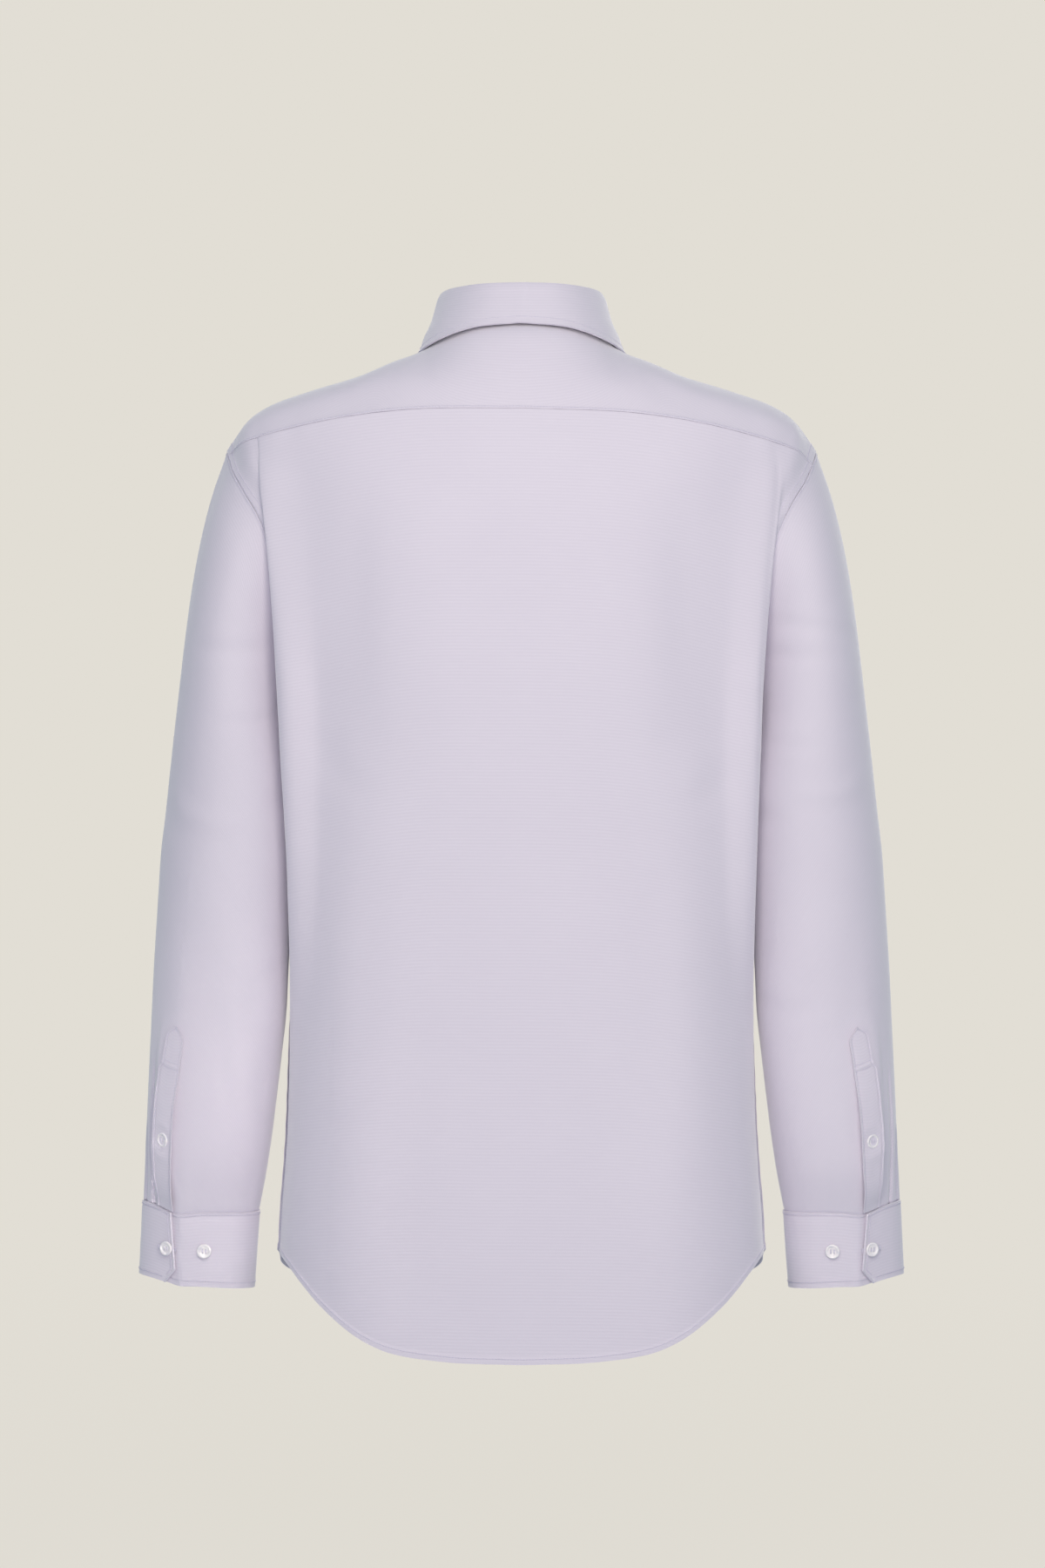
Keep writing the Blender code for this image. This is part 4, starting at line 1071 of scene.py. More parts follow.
def button_mesh(material):
    """A four-hole button with a rounded rim and a dished face, facing +Z."""
    r, half = BUTTON_RADIUS, BUTTON_THICKNESS / 2
    profile = ((0.0, half - 0.85), (0.45, half - 0.85), (0.58, half - 0.8), (0.66, half - 0.45),
               (0.74, half - 0.08), (0.82, half), (0.9, half - 0.05), (0.97, half - 0.35),
               (1.0, half - 0.8), (0.97, 0.1), (0.8, -half + 0.35), (0.6, -half), (0.0, -half))
    sides = 40
    turns = [2 * math.pi * k / sides for k in range(sides)]
    form = bmesh.new()
    rings = []
    for share, height in profile:
        if share:
            rings.append([form.verts.new((share * r * math.cos(t), share * r * math.sin(t), height))
                          for t in turns])
        else:
            rings.append([form.verts.new((0, 0, height))] * sides)
    for above, below in zip(rings, rings[1:]):
        for k in range(sides):
            corners = [above[k], below[k], below[(k + 1) % sides], above[(k + 1) % sides]]
            form.faces.new(list(dict.fromkeys(corners)))
    whole = loose(form, "button_whole", material)
    form = bmesh.new()
    for x in (-HOLE_PLACE, HOLE_PLACE):
        for y in (-HOLE_PLACE, HOLE_PLACE):
            bmesh.ops.create_cone(form, cap_ends=True, segments=12, radius1=HOLE_RADIUS,
                                  radius2=HOLE_RADIUS, depth=4, matrix=Matrix.Translation((x, y, 0)))
    holes = loose(form, "button_holes", material)
    cut = whole.modifiers.new("holes", "BOOLEAN")
    cut.object, cut.operation, cut.solver = holes, "DIFFERENCE", "EXACT"
    bpy.context.view_layer.update()
    found = bpy.data.meshes.new_from_object(whole.evaluated_get(bpy.context.evaluated_depsgraph_get()))
    for thing in (holes, whole):
        bpy.data.objects.remove(thing, do_unlink=True)
    found.shade_smooth()
    found.set_sharp_from_angle(angle=math.radians(38))
    return found


def loose(form, name, material):
    """A bmesh as an object of the scene, which takes its place for a while."""
    bmesh.ops.recalc_face_normals(form, faces=form.faces)
    mesh = bpy.data.meshes.new(name)
    form.to_mesh(mesh)
    form.free()
    mesh.materials.append(material)
    thing = bpy.data.objects.new(name, mesh)
    bpy.context.scene.collection.objects.link(thing)
    return thing


def frame_of(centre, out, up):
    """A matrix in metres that turns +Z to `out` and +Y towards `up`, from millimetres."""
    out = unit(np.asarray(out, float))
    side = unit(np.cross(up, out))
    over = np.cross(out, side)
    turn = Matrix([[*(side[i], over[i], out[i])] for i in range(3)]).to_4x4()
    return Matrix.Translation(Vector(np.asarray(centre) * MM)) @ turn @ Matrix.Scale(MM, 4)


def bars(lines, width):
    """Square bars along polylines, as points and quads."""
    points, faces = [], []
    for line in lines:
        base = len(points)
        for k, p in enumerate(line):
            way = unit(line[min(k + 1, len(line) - 1)] - line[max(k - 1, 0)])
            side = unit(np.cross(way, [0.3, 0.2, 0.93]))
            up = np.cross(side, way)
            for s, t in ((-1, -1), (1, -1), (1, 1), (-1, 1)):
                points.append(p + (s * side + t * up) * width / 2)
        for k in range(len(line) - 1):
            for c in range(4):
                a, b = base + 4 * k + c, base + 4 * k + (c + 1) % 4
                faces.append((a, b, b + 4, a + 4))
        faces.append((base, base + 3, base + 2, base + 1))
        end = base + 4 * (len(line) - 1)
        faces.append((end, end + 1, end + 2, end + 3))
    return points, faces


def add_bars(name, lines, width, matrix):
    """Thread as square bars along lines, turned into place."""
    mesh = mesh_of(name, *bars(lines, width), THREAD)
    mesh.transform(matrix)
    placed(name, mesh)


def add_button(node, mesh, centre, out):
    """A button in the place of its solid, with the thread through its four holes."""
    matrix = frame_of(centre, out, UP)
    own = mesh.copy()
    own.transform(matrix)
    placed("fine_" + node, own, [node])
    top = BUTTON_THICKNESS / 2 - 0.55
    lines = []
    for x in (-HOLE_PLACE, HOLE_PLACE):
        for strand in (-0.3, 0.0, 0.3):
            lines.append(np.array([[x + strand, y, top - low]
                                   for y, low in ((-1.45, 0.5), (-0.9, 0), (0.9, 0), (1.45, 0.5))]))
    add_bars("thread_" + node, lines, 0.32, matrix)


def add_buttonhole(name, centre, out, along):
    """A worked buttonhole: two rows of close stitches beside a slit, with a bar at each end."""
    half = BUTTONHOLE_LENGTH / 2
    lines = []
    for k in range(int(BUTTONHOLE_LENGTH / 0.55)):
        y = -half + 0.3 + 0.55 * k
        for side in (-1, 1):
            lines.append(np.array([[x * side, y, z] for x, z in
                                   ((0.18, -0.1), (0.5, 0.22), (1.2, 0.22), (1.5, -0.1))]))
    for end in (-1, 1):
        for k in range(3):
            y = end * (half + 0.2 + 0.4 * k)
            lines.append(np.array([[x, y, z] for x, z in
                                   ((-1.5, -0.1), (-1.2, 0.25), (1.2, 0.25), (1.5, -0.1))]))
    add_bars("buttonhole_" + name, lines, 0.42, frame_of(centre, out, along))


# ---------------------------------------------------------------------------
# Materials


def new_material(name, **values):
    """A material, its nodes and its shader, with values given for the shader's inputs."""
    material = bpy.data.materials.new(name)
    material.use_nodes = True
    tree = material.node_tree
    shader = tree.nodes["Principled BSDF"]
    for key, value in values.items():
        shader.inputs[key.replace("_", " ")].default_value = value
    return material, tree, shader


def node(tree, kind, **values):
    """A new node, with its inputs or its own settings given by name."""
    made = tree.nodes.new(kind)
    for key, value in values.items():
        if key in made.inputs:
            made.inputs[key].default_value = value
        else:
            setattr(made, key, value)
    return made


def math_node(tree, operation, first, second=None):
    """The result of one operation on other nodes' results or plain numbers."""
    made = node(tree, "ShaderNodeMath", operation=operation)
    for i, value in enumerate((first, second)):
        if isinstance(value, (int, float)):
            made.inputs[i].default_value = value
        elif value is not None:
            tree.links.new(value, made.inputs[i])
    return made.outputs[0]


def summed(tree, *parts):
    """The sum of values, each given with its weight."""
    weighted = [math_node(tree, "MULTIPLY", value, weight) for value, weight in parts]
    total = weighted[0]
    for value in weighted[1:]:
        total = math_node(tree, "ADD", total, value)
    return total


def rib(tree, axis, period):
    """A wave of 0 to 1 along one direction of the cloth, with this period in metres."""
    wave = math_node(tree, "SINE", math_node(tree, "MULTIPLY", axis, 2 * math.pi / period))
    return math_node(tree, "ADD", math_node(tree, "MULTIPLY", wave, 0.5), 0.5)


def noise(tree, place, **values):
    made = node(tree, "ShaderNodeTexNoise", **values)
    tree.links.new(place, made.inputs["Vector"])
    return made.outputs["Fac"]


def object_place(tree):
    return node(tree, "ShaderNodeTexCoord").outputs["Object"]


def blend(tree, factor, dark, color):
    """A colour between two, by a factor of 0 to 1."""
    made = node(tree, "ShaderNodeMix", data_type="RGBA")
    made.inputs["A"].default_value = (*dark, 1)
    made.inputs["B"].default_value = (*color, 1)
    tree.links.new(factor, made.inputs["Factor"])
    return made.outputs["Result"]


def surfaced(tree, shader, color, grain, rough, height, bump):
    """Gives a shader its colour, its roughness and its bump.

    Roughness is the grain times rough[0], plus rough[1]. The bump has a strength and a
    distance in metres.
    """
    spread = math_node(tree, "MULTIPLY", grain, rough[0])
    relief = node(tree, "ShaderNodeBump", Strength=bump[0], Distance=bump[1])
    tree.links.new(height, relief.inputs["Height"])
    tree.links.new(color, shader.inputs["Base Color"])
    tree.links.new(math_node(tree, "ADD", spread, rough[1]), shader.inputs["Roughness"])
    tree.links.new(relief.outputs["Normal"], shader.inputs["Normal"])


def cloth_material(name, color, dark):
    """Fine poplin: close ribs of weft, thinner warp, slubs, and a soft mottle in its colour."""
    material, tree, shader = new_material(
        name, Specular_IOR_Level=0.22, Sheen_Weight=0.75, Sheen_Roughness=0.5)
    place = node(tree, "ShaderNodeUVMap", uv_map="cloth").outputs["UV"]
    split = node(tree, "ShaderNodeSeparateXYZ")
    tree.links.new(place, split.inputs[0])
    weft = rib(tree, split.outputs["Y"], WEFT_PITCH)
    warp = rib(tree, split.outputs["X"], WARP_PITCH)
    course = rib(tree, split.outputs["Y"], COURSE_PITCH)
    stretch = node(tree, "ShaderNodeMapping", Scale=(60, 700, 1))
    tree.links.new(place, stretch.inputs["Vector"])
    slub = noise(tree, stretch.outputs["Vector"], Scale=1.0, Detail=3.0, Roughness=0.6)
    mottle = noise(tree, object_place(tree), Scale=14.0, Detail=3.0, Roughness=0.55)
    tone = summed(tree, (weft, 0.18), (warp, 0.08), (course, 0.26), (slub, 0.3), (mottle, 0.34))
    height = summed(tree, (weft, 0.5), (warp, 0.25), (course, 0.5), (slub, 0.8))
    surfaced(tree, shader, blend(tree, tone, dark, color), slub, (0.12, 0.7), height, (0.35, 0.00012))
    return material


def thread_material(name, color, dark):
    """Sewing thread: fine twisted stripes along it."""
    material, tree, shader = new_material(name, Specular_IOR_Level=0.35, Sheen_Weight=0.1)
    twist = noise(tree, object_place(tree), Scale=2200.0, Detail=2.0)
    surfaced(tree, shader, blend(tree, twist, dark, color), twist, (0.2, 0.45), twist, (0.4, 0.0001))
    return material


def pearl_material(name):
    """White pearly plastic: faint cloudy bands of pink and blue under a clear gloss."""
    material, tree, shader = new_material(
        name, Specular_IOR_Level=0.6, Coat_Weight=0.35, Coat_Roughness=0.12)
    warped = noise(tree, object_place(tree), Scale=260.0, Detail=3.0, Distortion=1.4)
    ramp = node(tree, "ShaderNodeValToRGB")
    bands = ramp.color_ramp.elements
    bands[0].position, bands[0].color = 0.3, (0.74, 0.73, 0.8, 1)
    bands[1].position, bands[1].color = 0.7, (0.92, 0.9, 0.91, 1)
    bands.new(0.5).color = (0.88, 0.84, 0.88, 1)
    tree.links.new(warped, ramp.inputs["Fac"])
    surfaced(tree, shader, ramp.outputs["Color"], warped, (0.16, 0.14), warped, (0.15, 0.0001))
    return material


# ---------------------------------------------------------------------------
# The shirt's own creases and pieces


BACK_CREASES = (
    (16, -1.0, (-119, -116), (-125, -200), (-128, -300)),
    (20, -1.6, (118, -116), (124, -210), (126, -310)),
    (33, 4.6, (-117, -310), (-118, -450), (-117, -600), (-114, -860)),
    (34, 4.0, (114, -860), (117, -600), (119, -450), (118, -310)),
    (20, 1.0, (-176, -110), (-160, -160), (-156, -265)),
    (20, 0.9, (174, -115), (160, -170), (155, -272)),
    (5.5, -0.9, (2, -73.5), (28, -71.5), (56, -70.5)),
    (26, -1.1, (-24, -90), (-34, -200), (-40, -300)),
    (30, 1.1, (34, -120), (30, -240), (24, -360)),
    (16, -1.3, (-109, -385), (-114, -500), (-121, -610)),
    (18, -1.4, (93, -400), (99, -500), (108, -625)),
    (20, 0.9, (-54, -500), (-58, -610), (-64, -720)),
    (24, -0.9, (58, -545), (66, -640), (70, -722)),
    (12, -0.8, (-150, -300), (-138, -330), (-110, -352)),
    (11, -0.7, (158, -322), (142, -346), (118, -360)),
    (9, 0.5, (-90, -94), (-60, -104), (-20, -108)),
)
FRONT_CREASES = {
    -1: (
        (34, -2.6, (-116, -150), (-124, -300), (-126, -480), (-120, -640)),
        (12, -1.8, (-168, -262), (-140, -300), (-96, -318)),
        (10, -1.3, (-170, -292), (-146, -336), (-118, -356)),
        (16, 1.3, (-70, -130), (-88, -190), (-104, -240)),
        (20, -1.2, (-60, -420), (-66, -540), (-62, -670)),
        (9, -0.8, (-150, -400), (-120, -418), (-84, -424)),
        (18, 1.0, (-92, -500), (-98, -600), (-96, -700)),
    ),
    1: (
        (34, -2.4, (118, -160), (126, -320), (124, -520), (118, -630)),
        (13, -1.6, (168, -258), (138, -292), (100, -306)),
        (9, -1.4, (170, -300), (150, -332), (112, -364)),
        (17, 1.2, (74, -120), (86, -186), (98, -236)),
        (22, -1.1, (52, -450), (60, -560), (64, -650)),
        (10, -0.7, (150, -430), (126, -440), (92, -436)),
        (16, 0.9, (100, -520), (94, -610), (100, -690)),
    ),
}
YOKE_CREASES = (
    (10, -0.6, (-150, -66), (-120, -52), (-92, -40)),
    (10, -0.6, (148, -68), (124, -52), (90, -38)),
    (8, -0.5, (70, -28), (92, -38), (120, -50)),
)
# Creases on a sleeve: across is the way round from its outside over the back, in mm
SLEEVE_CREASES = {
    -1: (
        (6, -0.9, (98, -232), (74, -240), (44, -236)),
        (5, -0.7, (112, -282), (90, -292), (62, -294)),
        (7, -1.0, (150, -330), (122, -348), (92, -352)),
        (6, -0.8, (160, -372), (134, -384), (104, -380)),
        (8, 1.0, (30, -340), (50, -362), (84, -372)),
        (9, -1.3, (214, -330), (186, -352), (160, -358)),
        (8, -1.1, (232, -372), (200, -384), (166, -386)),
        (10, -1.0, (60, -430), (70, -500), (66, -560)),
        (14, 1.2, (96, -440), (100, -540), (98, -630)),
        (6, -0.7, (120, -470), (100, -486), (84, -490)),
        (4.5, -3.0, (1, -596), (-1, -640), (-2, -674)),
    ),
    1: (
        (5, -0.9, (96, -212), (70, -222), (30, -228)),
        (6, -0.8, (108, -236), (82, -244), (52, -242)),
        (5, -0.6, (110, -306), (86, -312), (66, -309)),
        (8, -1.1, (148, -346), (118, -360), (88, -370)),
        (6, 0.8, (36, -330), (60, -346), (90, -348)),
        (9, -1.2, (216, -340), (184, -356), (158, -366)),
        (7, -1.1, (228, -386), (202, -392), (170, -402)),
        (11, -1.1, (58, -440), (64, -510), (60, -550)),
        (13, 1.1, (100, -450), (104, -550), (100, -640)),
        (6, -0.8, (122, -500), (98, -512), (80, -510)),
        (4.5, -2.8, (3, -600), (0, -640), (-1, -674)),
    ),
}
# The pleat beside each sleeve placket, on the same measure
PLEATS = {
    -1: ((2.3, -4.6, (21.5, -548), (19.5, -606), (16.5, -690)),),
    1: ((2.3, -4.4, (23, -550), (18, -612), (15, -690)),),
}


def arm_folds(grid):
    """Where the two creases by the arms lie across a grid, from its first side."""
    along = np.concatenate([[0], np.cumsum(chords(grid, 1))])
    return [float(np.interp(share, both_sides(half_shares()), along)) for share in (-CREASE, CREASE)]


def past_fold(columns, folds):
    """How far columns lie past the creases by the arms: 0 up to them, and 1 at the edges."""
    first, last = folds
    return np.clip(np.maximum((first - columns) / first, (columns - last) / (columns[-1] - last)), 0, 1)


def nearer(edge_z):
    """How much nearer to the back the armhole's seam lies at this height, in mm."""
    return TRIANGLE_SHIFT * smooth((-218, -172, -100, -62), (0, 1, 1, 0), edge_z)


def hem_pucker(grid, bottom, seed):
    """A narrow rolled hem: a raised fold, roped a little by its stitching."""
    rope = ripple(grid[..., 0] + 0.6 * bottom, 6.5, seed) * bell(bottom - HEM / 2, HEM)
    return 0.45 * step_down(bottom, HEM, 0.7) + 0.16 * rope


def body_axis(grid):
    """The points that the body's cloth goes round, for telling its outside."""
    return grid * np.array([0.55, 0.0, 1.0])


def add_back(back):
    edged = drawn_in(back, top=SEAM_LINE, first=SIDE_LINE, last=SIDE_LINE)
    folds = arm_folds(edged)
    grid = fine_grid(edged, 4.0, "tbfl", closer=folds)
    x, z = grid[..., 0], grid[..., 2]
    top, bottom, first, last = (run(grid, edge) for edge in EDGES)
    columns = np.concatenate([[0], np.cumsum(chords(grid, 1))])
    beyond = past_fold(columns, folds)
    filled = smooth((-130, -112, -98, -86), (0, 1, 1, 0.15), z)
    amount = creases(x, z, BACK_CREASES) * (1 - step_down(top, 8, 7))
    amount += seam(top, x, 1.3, 0.4, 11, pucker=0.22, pitch=11)
    groove = smooth((-250, -205, -140, -112, -104), (0, 0.8, 1, 1, 0.8), z) * np.where(x < 0, 1.1, 0.8)
    crest = np.where(x < 0, 2.6, 1.8) * smooth((-400, -240, -114, -92), (0, 1, 1, 0.35), z)
    grid[..., 1] -= nearer(z) * beyond
    grid[..., 1] -= 1.2 * np.sin(math.pi * beyond) * filled
    for fold, side in zip(folds, (-1, 1)):
        beside = (columns - fold) * side
        amount += crest * bell(beside, np.where(beside > 0, 0.9, 20)) - groove * bell(beside, 0.8)
    amount += seam(first, z, 6.0, 0.35, 12, pucker=0.2) + seam(last, z, 6.0, 0.35, 13, pucker=0.2)
    amount += hem_pucker(grid, bottom, 14)
    grid = displaced(grid, amount, around=body_axis(grid))
    around = body_axis(grid)
    shell("back", grid, THIN, around)
    lines = [line_inside(grid, "bottom", HEM - 1.0, PROUD, around=around)]
    for edge in ("first", "last"):
        lines += [line_inside(grid, edge, d, PROUD, around=around)[:-2] for d in (1.2, 6.0)]
    add_stitches("back", lines)


def add_yoke(yoke):
    edged = drawn_in(yoke, SEAM_LINE, SEAM_LINE, ARMHOLE_LINE, ARMHOLE_LINE)
    grid = fine_grid(edged, 3.6, "tbfl")
    x, y, z = grid[..., 0], grid[..., 1], grid[..., 2]
    top, bottom, first, last = (run(grid, edge) for edge in EDGES)
    columns = np.concatenate([[0], np.cumsum(chords(grid, 1))])
    grid[..., 1] -= nearer(z) * past_fold(columns, arm_folds(edged)) * (y < 0)
    amount = creases(x, z, YOKE_CREASES) * np.clip((20 - y) / 40, 0, 1)
    amount += seam(bottom, x, 2.2, 0.3, 21, pucker=0.16, pitch=10)
    amount += seam(top, x, 2.2, 0.3, 22, pucker=0.16, pitch=10) * (abs(x) > 70)
    amount += seam(first, y, 7.5, 0.4, 23, pucker=0.2) + seam(last, y, 7.5, 0.4, 24, pucker=0.2)
    around = grid * np.array([0.8, 0.3, 1.0]) - 60 * UP
    grid = displaced(grid, amount, around=around)
    shell("yoke", grid, THIN, around)
    shoulder = line_inside(grid, "top", 1.4, PROUD, around=around)
    lines = [line_inside(grid, "bottom", 1.4, PROUD, around=around),
             shoulder[shoulder[:, 0] < -66], shoulder[shoulder[:, 0] > 66]]
    lines += [line_inside(grid, edge, 7.0, PROUD, around=around) for edge in ("first", "last")]
    add_stitches("yoke", lines)


def add_front(sign, name, front):
    grid = fine_grid(drawn_in(front, top=SEAM_LINE, first=0.1, last=SIDE_LINE), 4.0, "tbl")
    x, z = grid[..., 0], grid[..., 2]
    top, bottom, last = (run(grid, edge) for edge in ("top", "bottom", "last"))
    amount = creases(x, z, FRONT_CREASES[sign])
    amount *= (1 - step_down(top, 8, 7)) * np.clip((abs(x) - 16) / 20, 0, 1)
    amount += seam(top, x, 1.5, 0.0, 31 + sign, pucker=0.2, pitch=11)
    amount += seam(last, z, 1.5, 0.0, 34 + sign, pucker=0.2)
    amount += hem_pucker(grid, bottom, 37 + sign)
    around = body_axis(grid)
    grid = displaced(grid, amount, around=around)
    shell("front_" + name, grid, THIN, around)
    upper = line_inside(grid, "last", 7.0, PROUD, around=around)
    add_stitches("front_" + name, [line_inside(grid, "bottom", HEM - 1.0, PROUD, around=around),
                                   upper[upper[:, 2] > ARMPIT_Z + 4]])


def add_band():
    """The band down the wearer's left front, which carries the buttonholes."""
    grid = fine_grid(drawn_in(band_grid(), top=BAND_TOP_INSET), 3.0, "tbfl")
    x, z = grid[..., 0], grid[..., 2]
    edge = np.minimum(run(grid, "first"), run(grid, "last"))
    amount = 0.35 * step_down(edge, 5.4, 0.8) + 0.14 * ripple(z, 9, 41) * np.exp(-edge / 7)
    amount += 0.35 * ripple(z + 0.3 * x, 42, 42)
    amount += hem_pucker(grid, run(grid, "bottom"), 43)
    around = grid * np.array([1.0, 0.0, 1.0])
    grid = displaced(grid, amount + PLACKET_LIFT - 0.35, around=around)
    shell("front_band", grid, 0.9, around)
    add_stitches("front_band", [line_inside(grid, side, 5.4, 0.5 + PROUD, around=around)
                                for side in ("first", "last")])


def add_sleeve(sign, name, loop):
    edged = drawn_in(sleeve_grid(loop), top=ARMHOLE_LINE, bottom=SEAM_LINE)
    grid = fine_grid(edged, 3.8, "tb", closed=True, closer=PLEAT_ZONE)
    grid[..., 2] += dip(grid, name) * near_cuff(grid[..., 2])
    grid = pressed(grid, name, (grid.min(axis=1, keepdims=True) + grid.max(axis=1, keepdims=True)) / 2)
    behind = (grid[:1, :, 1] < 0) * np.clip(1 - run(grid, "top") / 28, 0, 1) ** 2
    grid[..., 1] -= nearer(grid[:1, :, 2]) * behind
    ways = grid[-1] - grid[-2]
    grid[-1] += ways / np.linalg.norm(ways, axis=-1)[:, None]
    x, y, z = grid[..., 0], grid[..., 1], grid[..., 2]
    middle_x, middle_y = (values.mean(axis=1, keepdims=True) for values in (x, y))
    turn = np.arctan2(-(y - middle_y), x - middle_x) % (2 * math.pi)
    across = turn * ROUND_ARM
    top, bottom = run(grid, "top"), run(grid, "bottom")
    amount = creases(across, z, SLEEVE_CREASES[sign])
    amount += creases(across - 2 * math.pi * ROUND_ARM, z, SLEEVE_CREASES[sign])
    amount += creases(across, z, PLEATS[sign], ridge=0.0)
    amount += seam(top, across, 1.2, 0.25, 51 + sign, pucker=0.3, pitch=12)
    amount += seam(bottom, across, 1.2, 0.0, 54 + sign, pucker=0.4, pitch=8) * np.clip(bottom / 2, 0, 1)
    amount -= 0.8 * bell(bottom, 1.4)
    under = (turn - math.pi) * ROUND_ARM
    amount += 0.35 * step_down(abs(under), 4.0) * (1 - step_down(top, 12, 6))
    around = np.stack([middle_x + 0 * x, middle_y + 0 * y, z], -1)
    grid = displaced(grid, amount, closed=True, around=around)
    grid[..., 0] *= sign
    around[..., 0] *= sign
    shell("sleeve_" + name, grid, THIN, around, closed=True)
    add_stitches("sleeve_" + name, [
        line_inside(grid, edge, distance, PROUD, closed=True, around=around)
        for edge, distance in (("top", 1.4), ("bottom", 1.6))])


def turn_of(points, middle=CUFF_MIDDLE):
    """Points' distance outwards of the middle, and their turn in degrees from the back."""
    middle = np.asarray(middle)
    x, y = points[..., 0] - middle[..., 0], middle[..., 1] - points[..., 1]
    return x, (90 - np.degrees(np.arctan2(y, x)) + 180) % 360 - 180


def cuff_end(name, edge="top"):
    """Where a cuff's outer end lies at its top or bottom, in degrees round it."""
    return CUFF_END[edge] + PLACKET_TURN[name] * CUFF_TURN_SHARE


def dip(points, name):
    """How far the cuff's seam lies above a plain tilted ring: it dips at the cuff's outer end."""
    x, turn = turn_of(points)
    outward_share = np.clip(np.sin(np.radians(turn)), 0, 1)
    return -0.075 * x + 3.0 * outward_share**4 - 3.1 * bell(turn - cuff_end(name), 26)


def near_cuff(z):
    """1 by the cuff's seam, falling to 0 a little way up the sleeve."""
    return smooth((CUFF_TOP_Z + 2, CUFF_TOP_Z + 60), (1, 0), z)


def pressed(points, name, middle=CUFF_MIDDLE):
    """Points of a sleeve or a cuff moved in or out, so that their ring has its real form.

    The side outwards of the cuff's end is pressed flat, so that a corner forms there. The
    inner side is filled out, and the cloth by the placket strip's outer side stands out.
    """
    turn = turn_of(points, middle)[1]
    z = points[..., 2]
    end = cuff_end(name) - 3
    part = np.clip((turn - end) / (96 - end), 0, 1)
    inner = np.clip(-turn / 92, 0, 1)
    strip = turn - PLACKET_TURN[name]
    tilted = np.clip((strip - 20) / 29, 0, 1) * step_down(strip, 54, 4)
    flat = np.sin(math.pi * part**0.8) * smooth((CUFF_TOP_Z + 8, CUFF_TOP_Z + 48), (1, 0), z)
    full = np.sin(math.pi * inner**1.6) * smooth((-560, -360, -210, -130), (1, 0.7, 0.6, 0), z)
    tilted = tilted * smooth((-660, -635, -550, -515), (0, 1, 1, 0), z)
    amount = CORNER_DEPTH * flat - FLAT_DEPTH * full - STRIP_TILT * tilted
    inwards = np.stack([-np.sin(np.radians(turn)), np.cos(np.radians(turn)), 0 * turn], -1)
    return points + inwards * amount[..., None]


def gauntlet_row(name, z, shares):
    """One row of points across a placket: along its pointed box, its bar or the strip below."""
    turn, half_width = read(PLACKET, "z", "turn half_width", z)
    down = (BAR_Z - z) / (BAR_Z - CUFF_TOP_Z)
    strip = float(smooth((BAR_Z - 4, BAR_Z - 1), (1, 0), z))
    shift = strip * (STRIP_STEP + STRIP_LEAN * down) + (1 - strip) * BOX_SHIFT
    narrows = strip * STRIP_NARROWS * down + (1 - strip) * BOX_NARROWS
    offsets = shares * half_width * (1 - narrows)
    slope = GAUNTLET_SLOPE * float(smooth((-662, -625), (0, 1), z))
    return [placket_point(name, turn, shift + offset, z + slope * offset) for offset in offsets]


def add_gauntlet(sign, name):
    """The placket strip: a pointed box, a bar across, and below it a free inner edge."""
    heights = np.concatenate([np.linspace(-525, -534, 10), np.linspace(-534.8, -545, 12),
                              np.linspace(-545.7, -563, 24), np.linspace(-564.5, -664.5, 62)])
    inwards = np.array([0, 0.35, 0.7, 1.1, 1.5, 2.0, 2.6, 3.6, 5.0, 7.2])
    shares = inwards / PLACKET_HALF_WIDTH - 1
    shares = np.concatenate([shares, [0.0], -shares[::-1]])
    grid = np.array([gauntlet_row(name, z, shares) for z in heights])
    axis = np.array([[sleeve_axis(z)] * len(shares) for z in heights])
    grid[..., 2] += dip(grid, name) * near_cuff(grid[..., 2])
    grid = pressed(grid, name, axis)
    z = heights[:, None] + 0 * shares
    below = np.clip((BAR_Z - 4 - z) / 26, 0, 1) * np.clip((z + 662) / 22, 0, 1)
    free = (0.5 - 0.5 * shares) ** 2
    top, first, last = (run(grid, edge) for edge in ("top", "first", "last"))
    edge = np.minimum(np.minimum(first, last), top)
    from_button = np.hypot(shares * PLACKET_HALF_WIDTH, z - PLACKET_BUTTON_Z)
    bar = np.abs(z - BAR_Z)
    waves = ripple(z + 4 * shares, 19, 61 + sign)
    lift = PLACKET_LIFT - 0.25 + below * (1.3 * free + 0.5 * waves + 0.7)
    lift += 0.5 * step_down(edge, 1.2, 0.5) - 0.3 * bell(edge - 1.7, 0.5)
    lift += 1.1 * below * bell(first, 1.3)
    lift += 0.45 * step_down(bar, 1.3, 0.5) - 0.25 * bell(bar - 2.4, 0.7)
    lift -= 0.9 * bell(from_button, 7.5) - 0.5 * bell(from_button - 12, 4)
    side = np.array([sign, 1.0, 1.0])
    around = axis * side
    grid = displaced(grid * side, lift, around=around)
    shell("gauntlet_" + name, grid, 0.8, around)
    lines = [line_inside(grid, e, 1.7, 0.25 + PROUD, around=around) for e in ("first", "last", "top")]
    raised = displaced(grid, 0.25 + PROUD, around=around)
    lines += [raised[int(np.argmin(np.abs(heights - BAR_Z - by))), 4:-4] for by in (-2.2, 2.2)]
    add_stitches("gauntlet_" + name, lines)


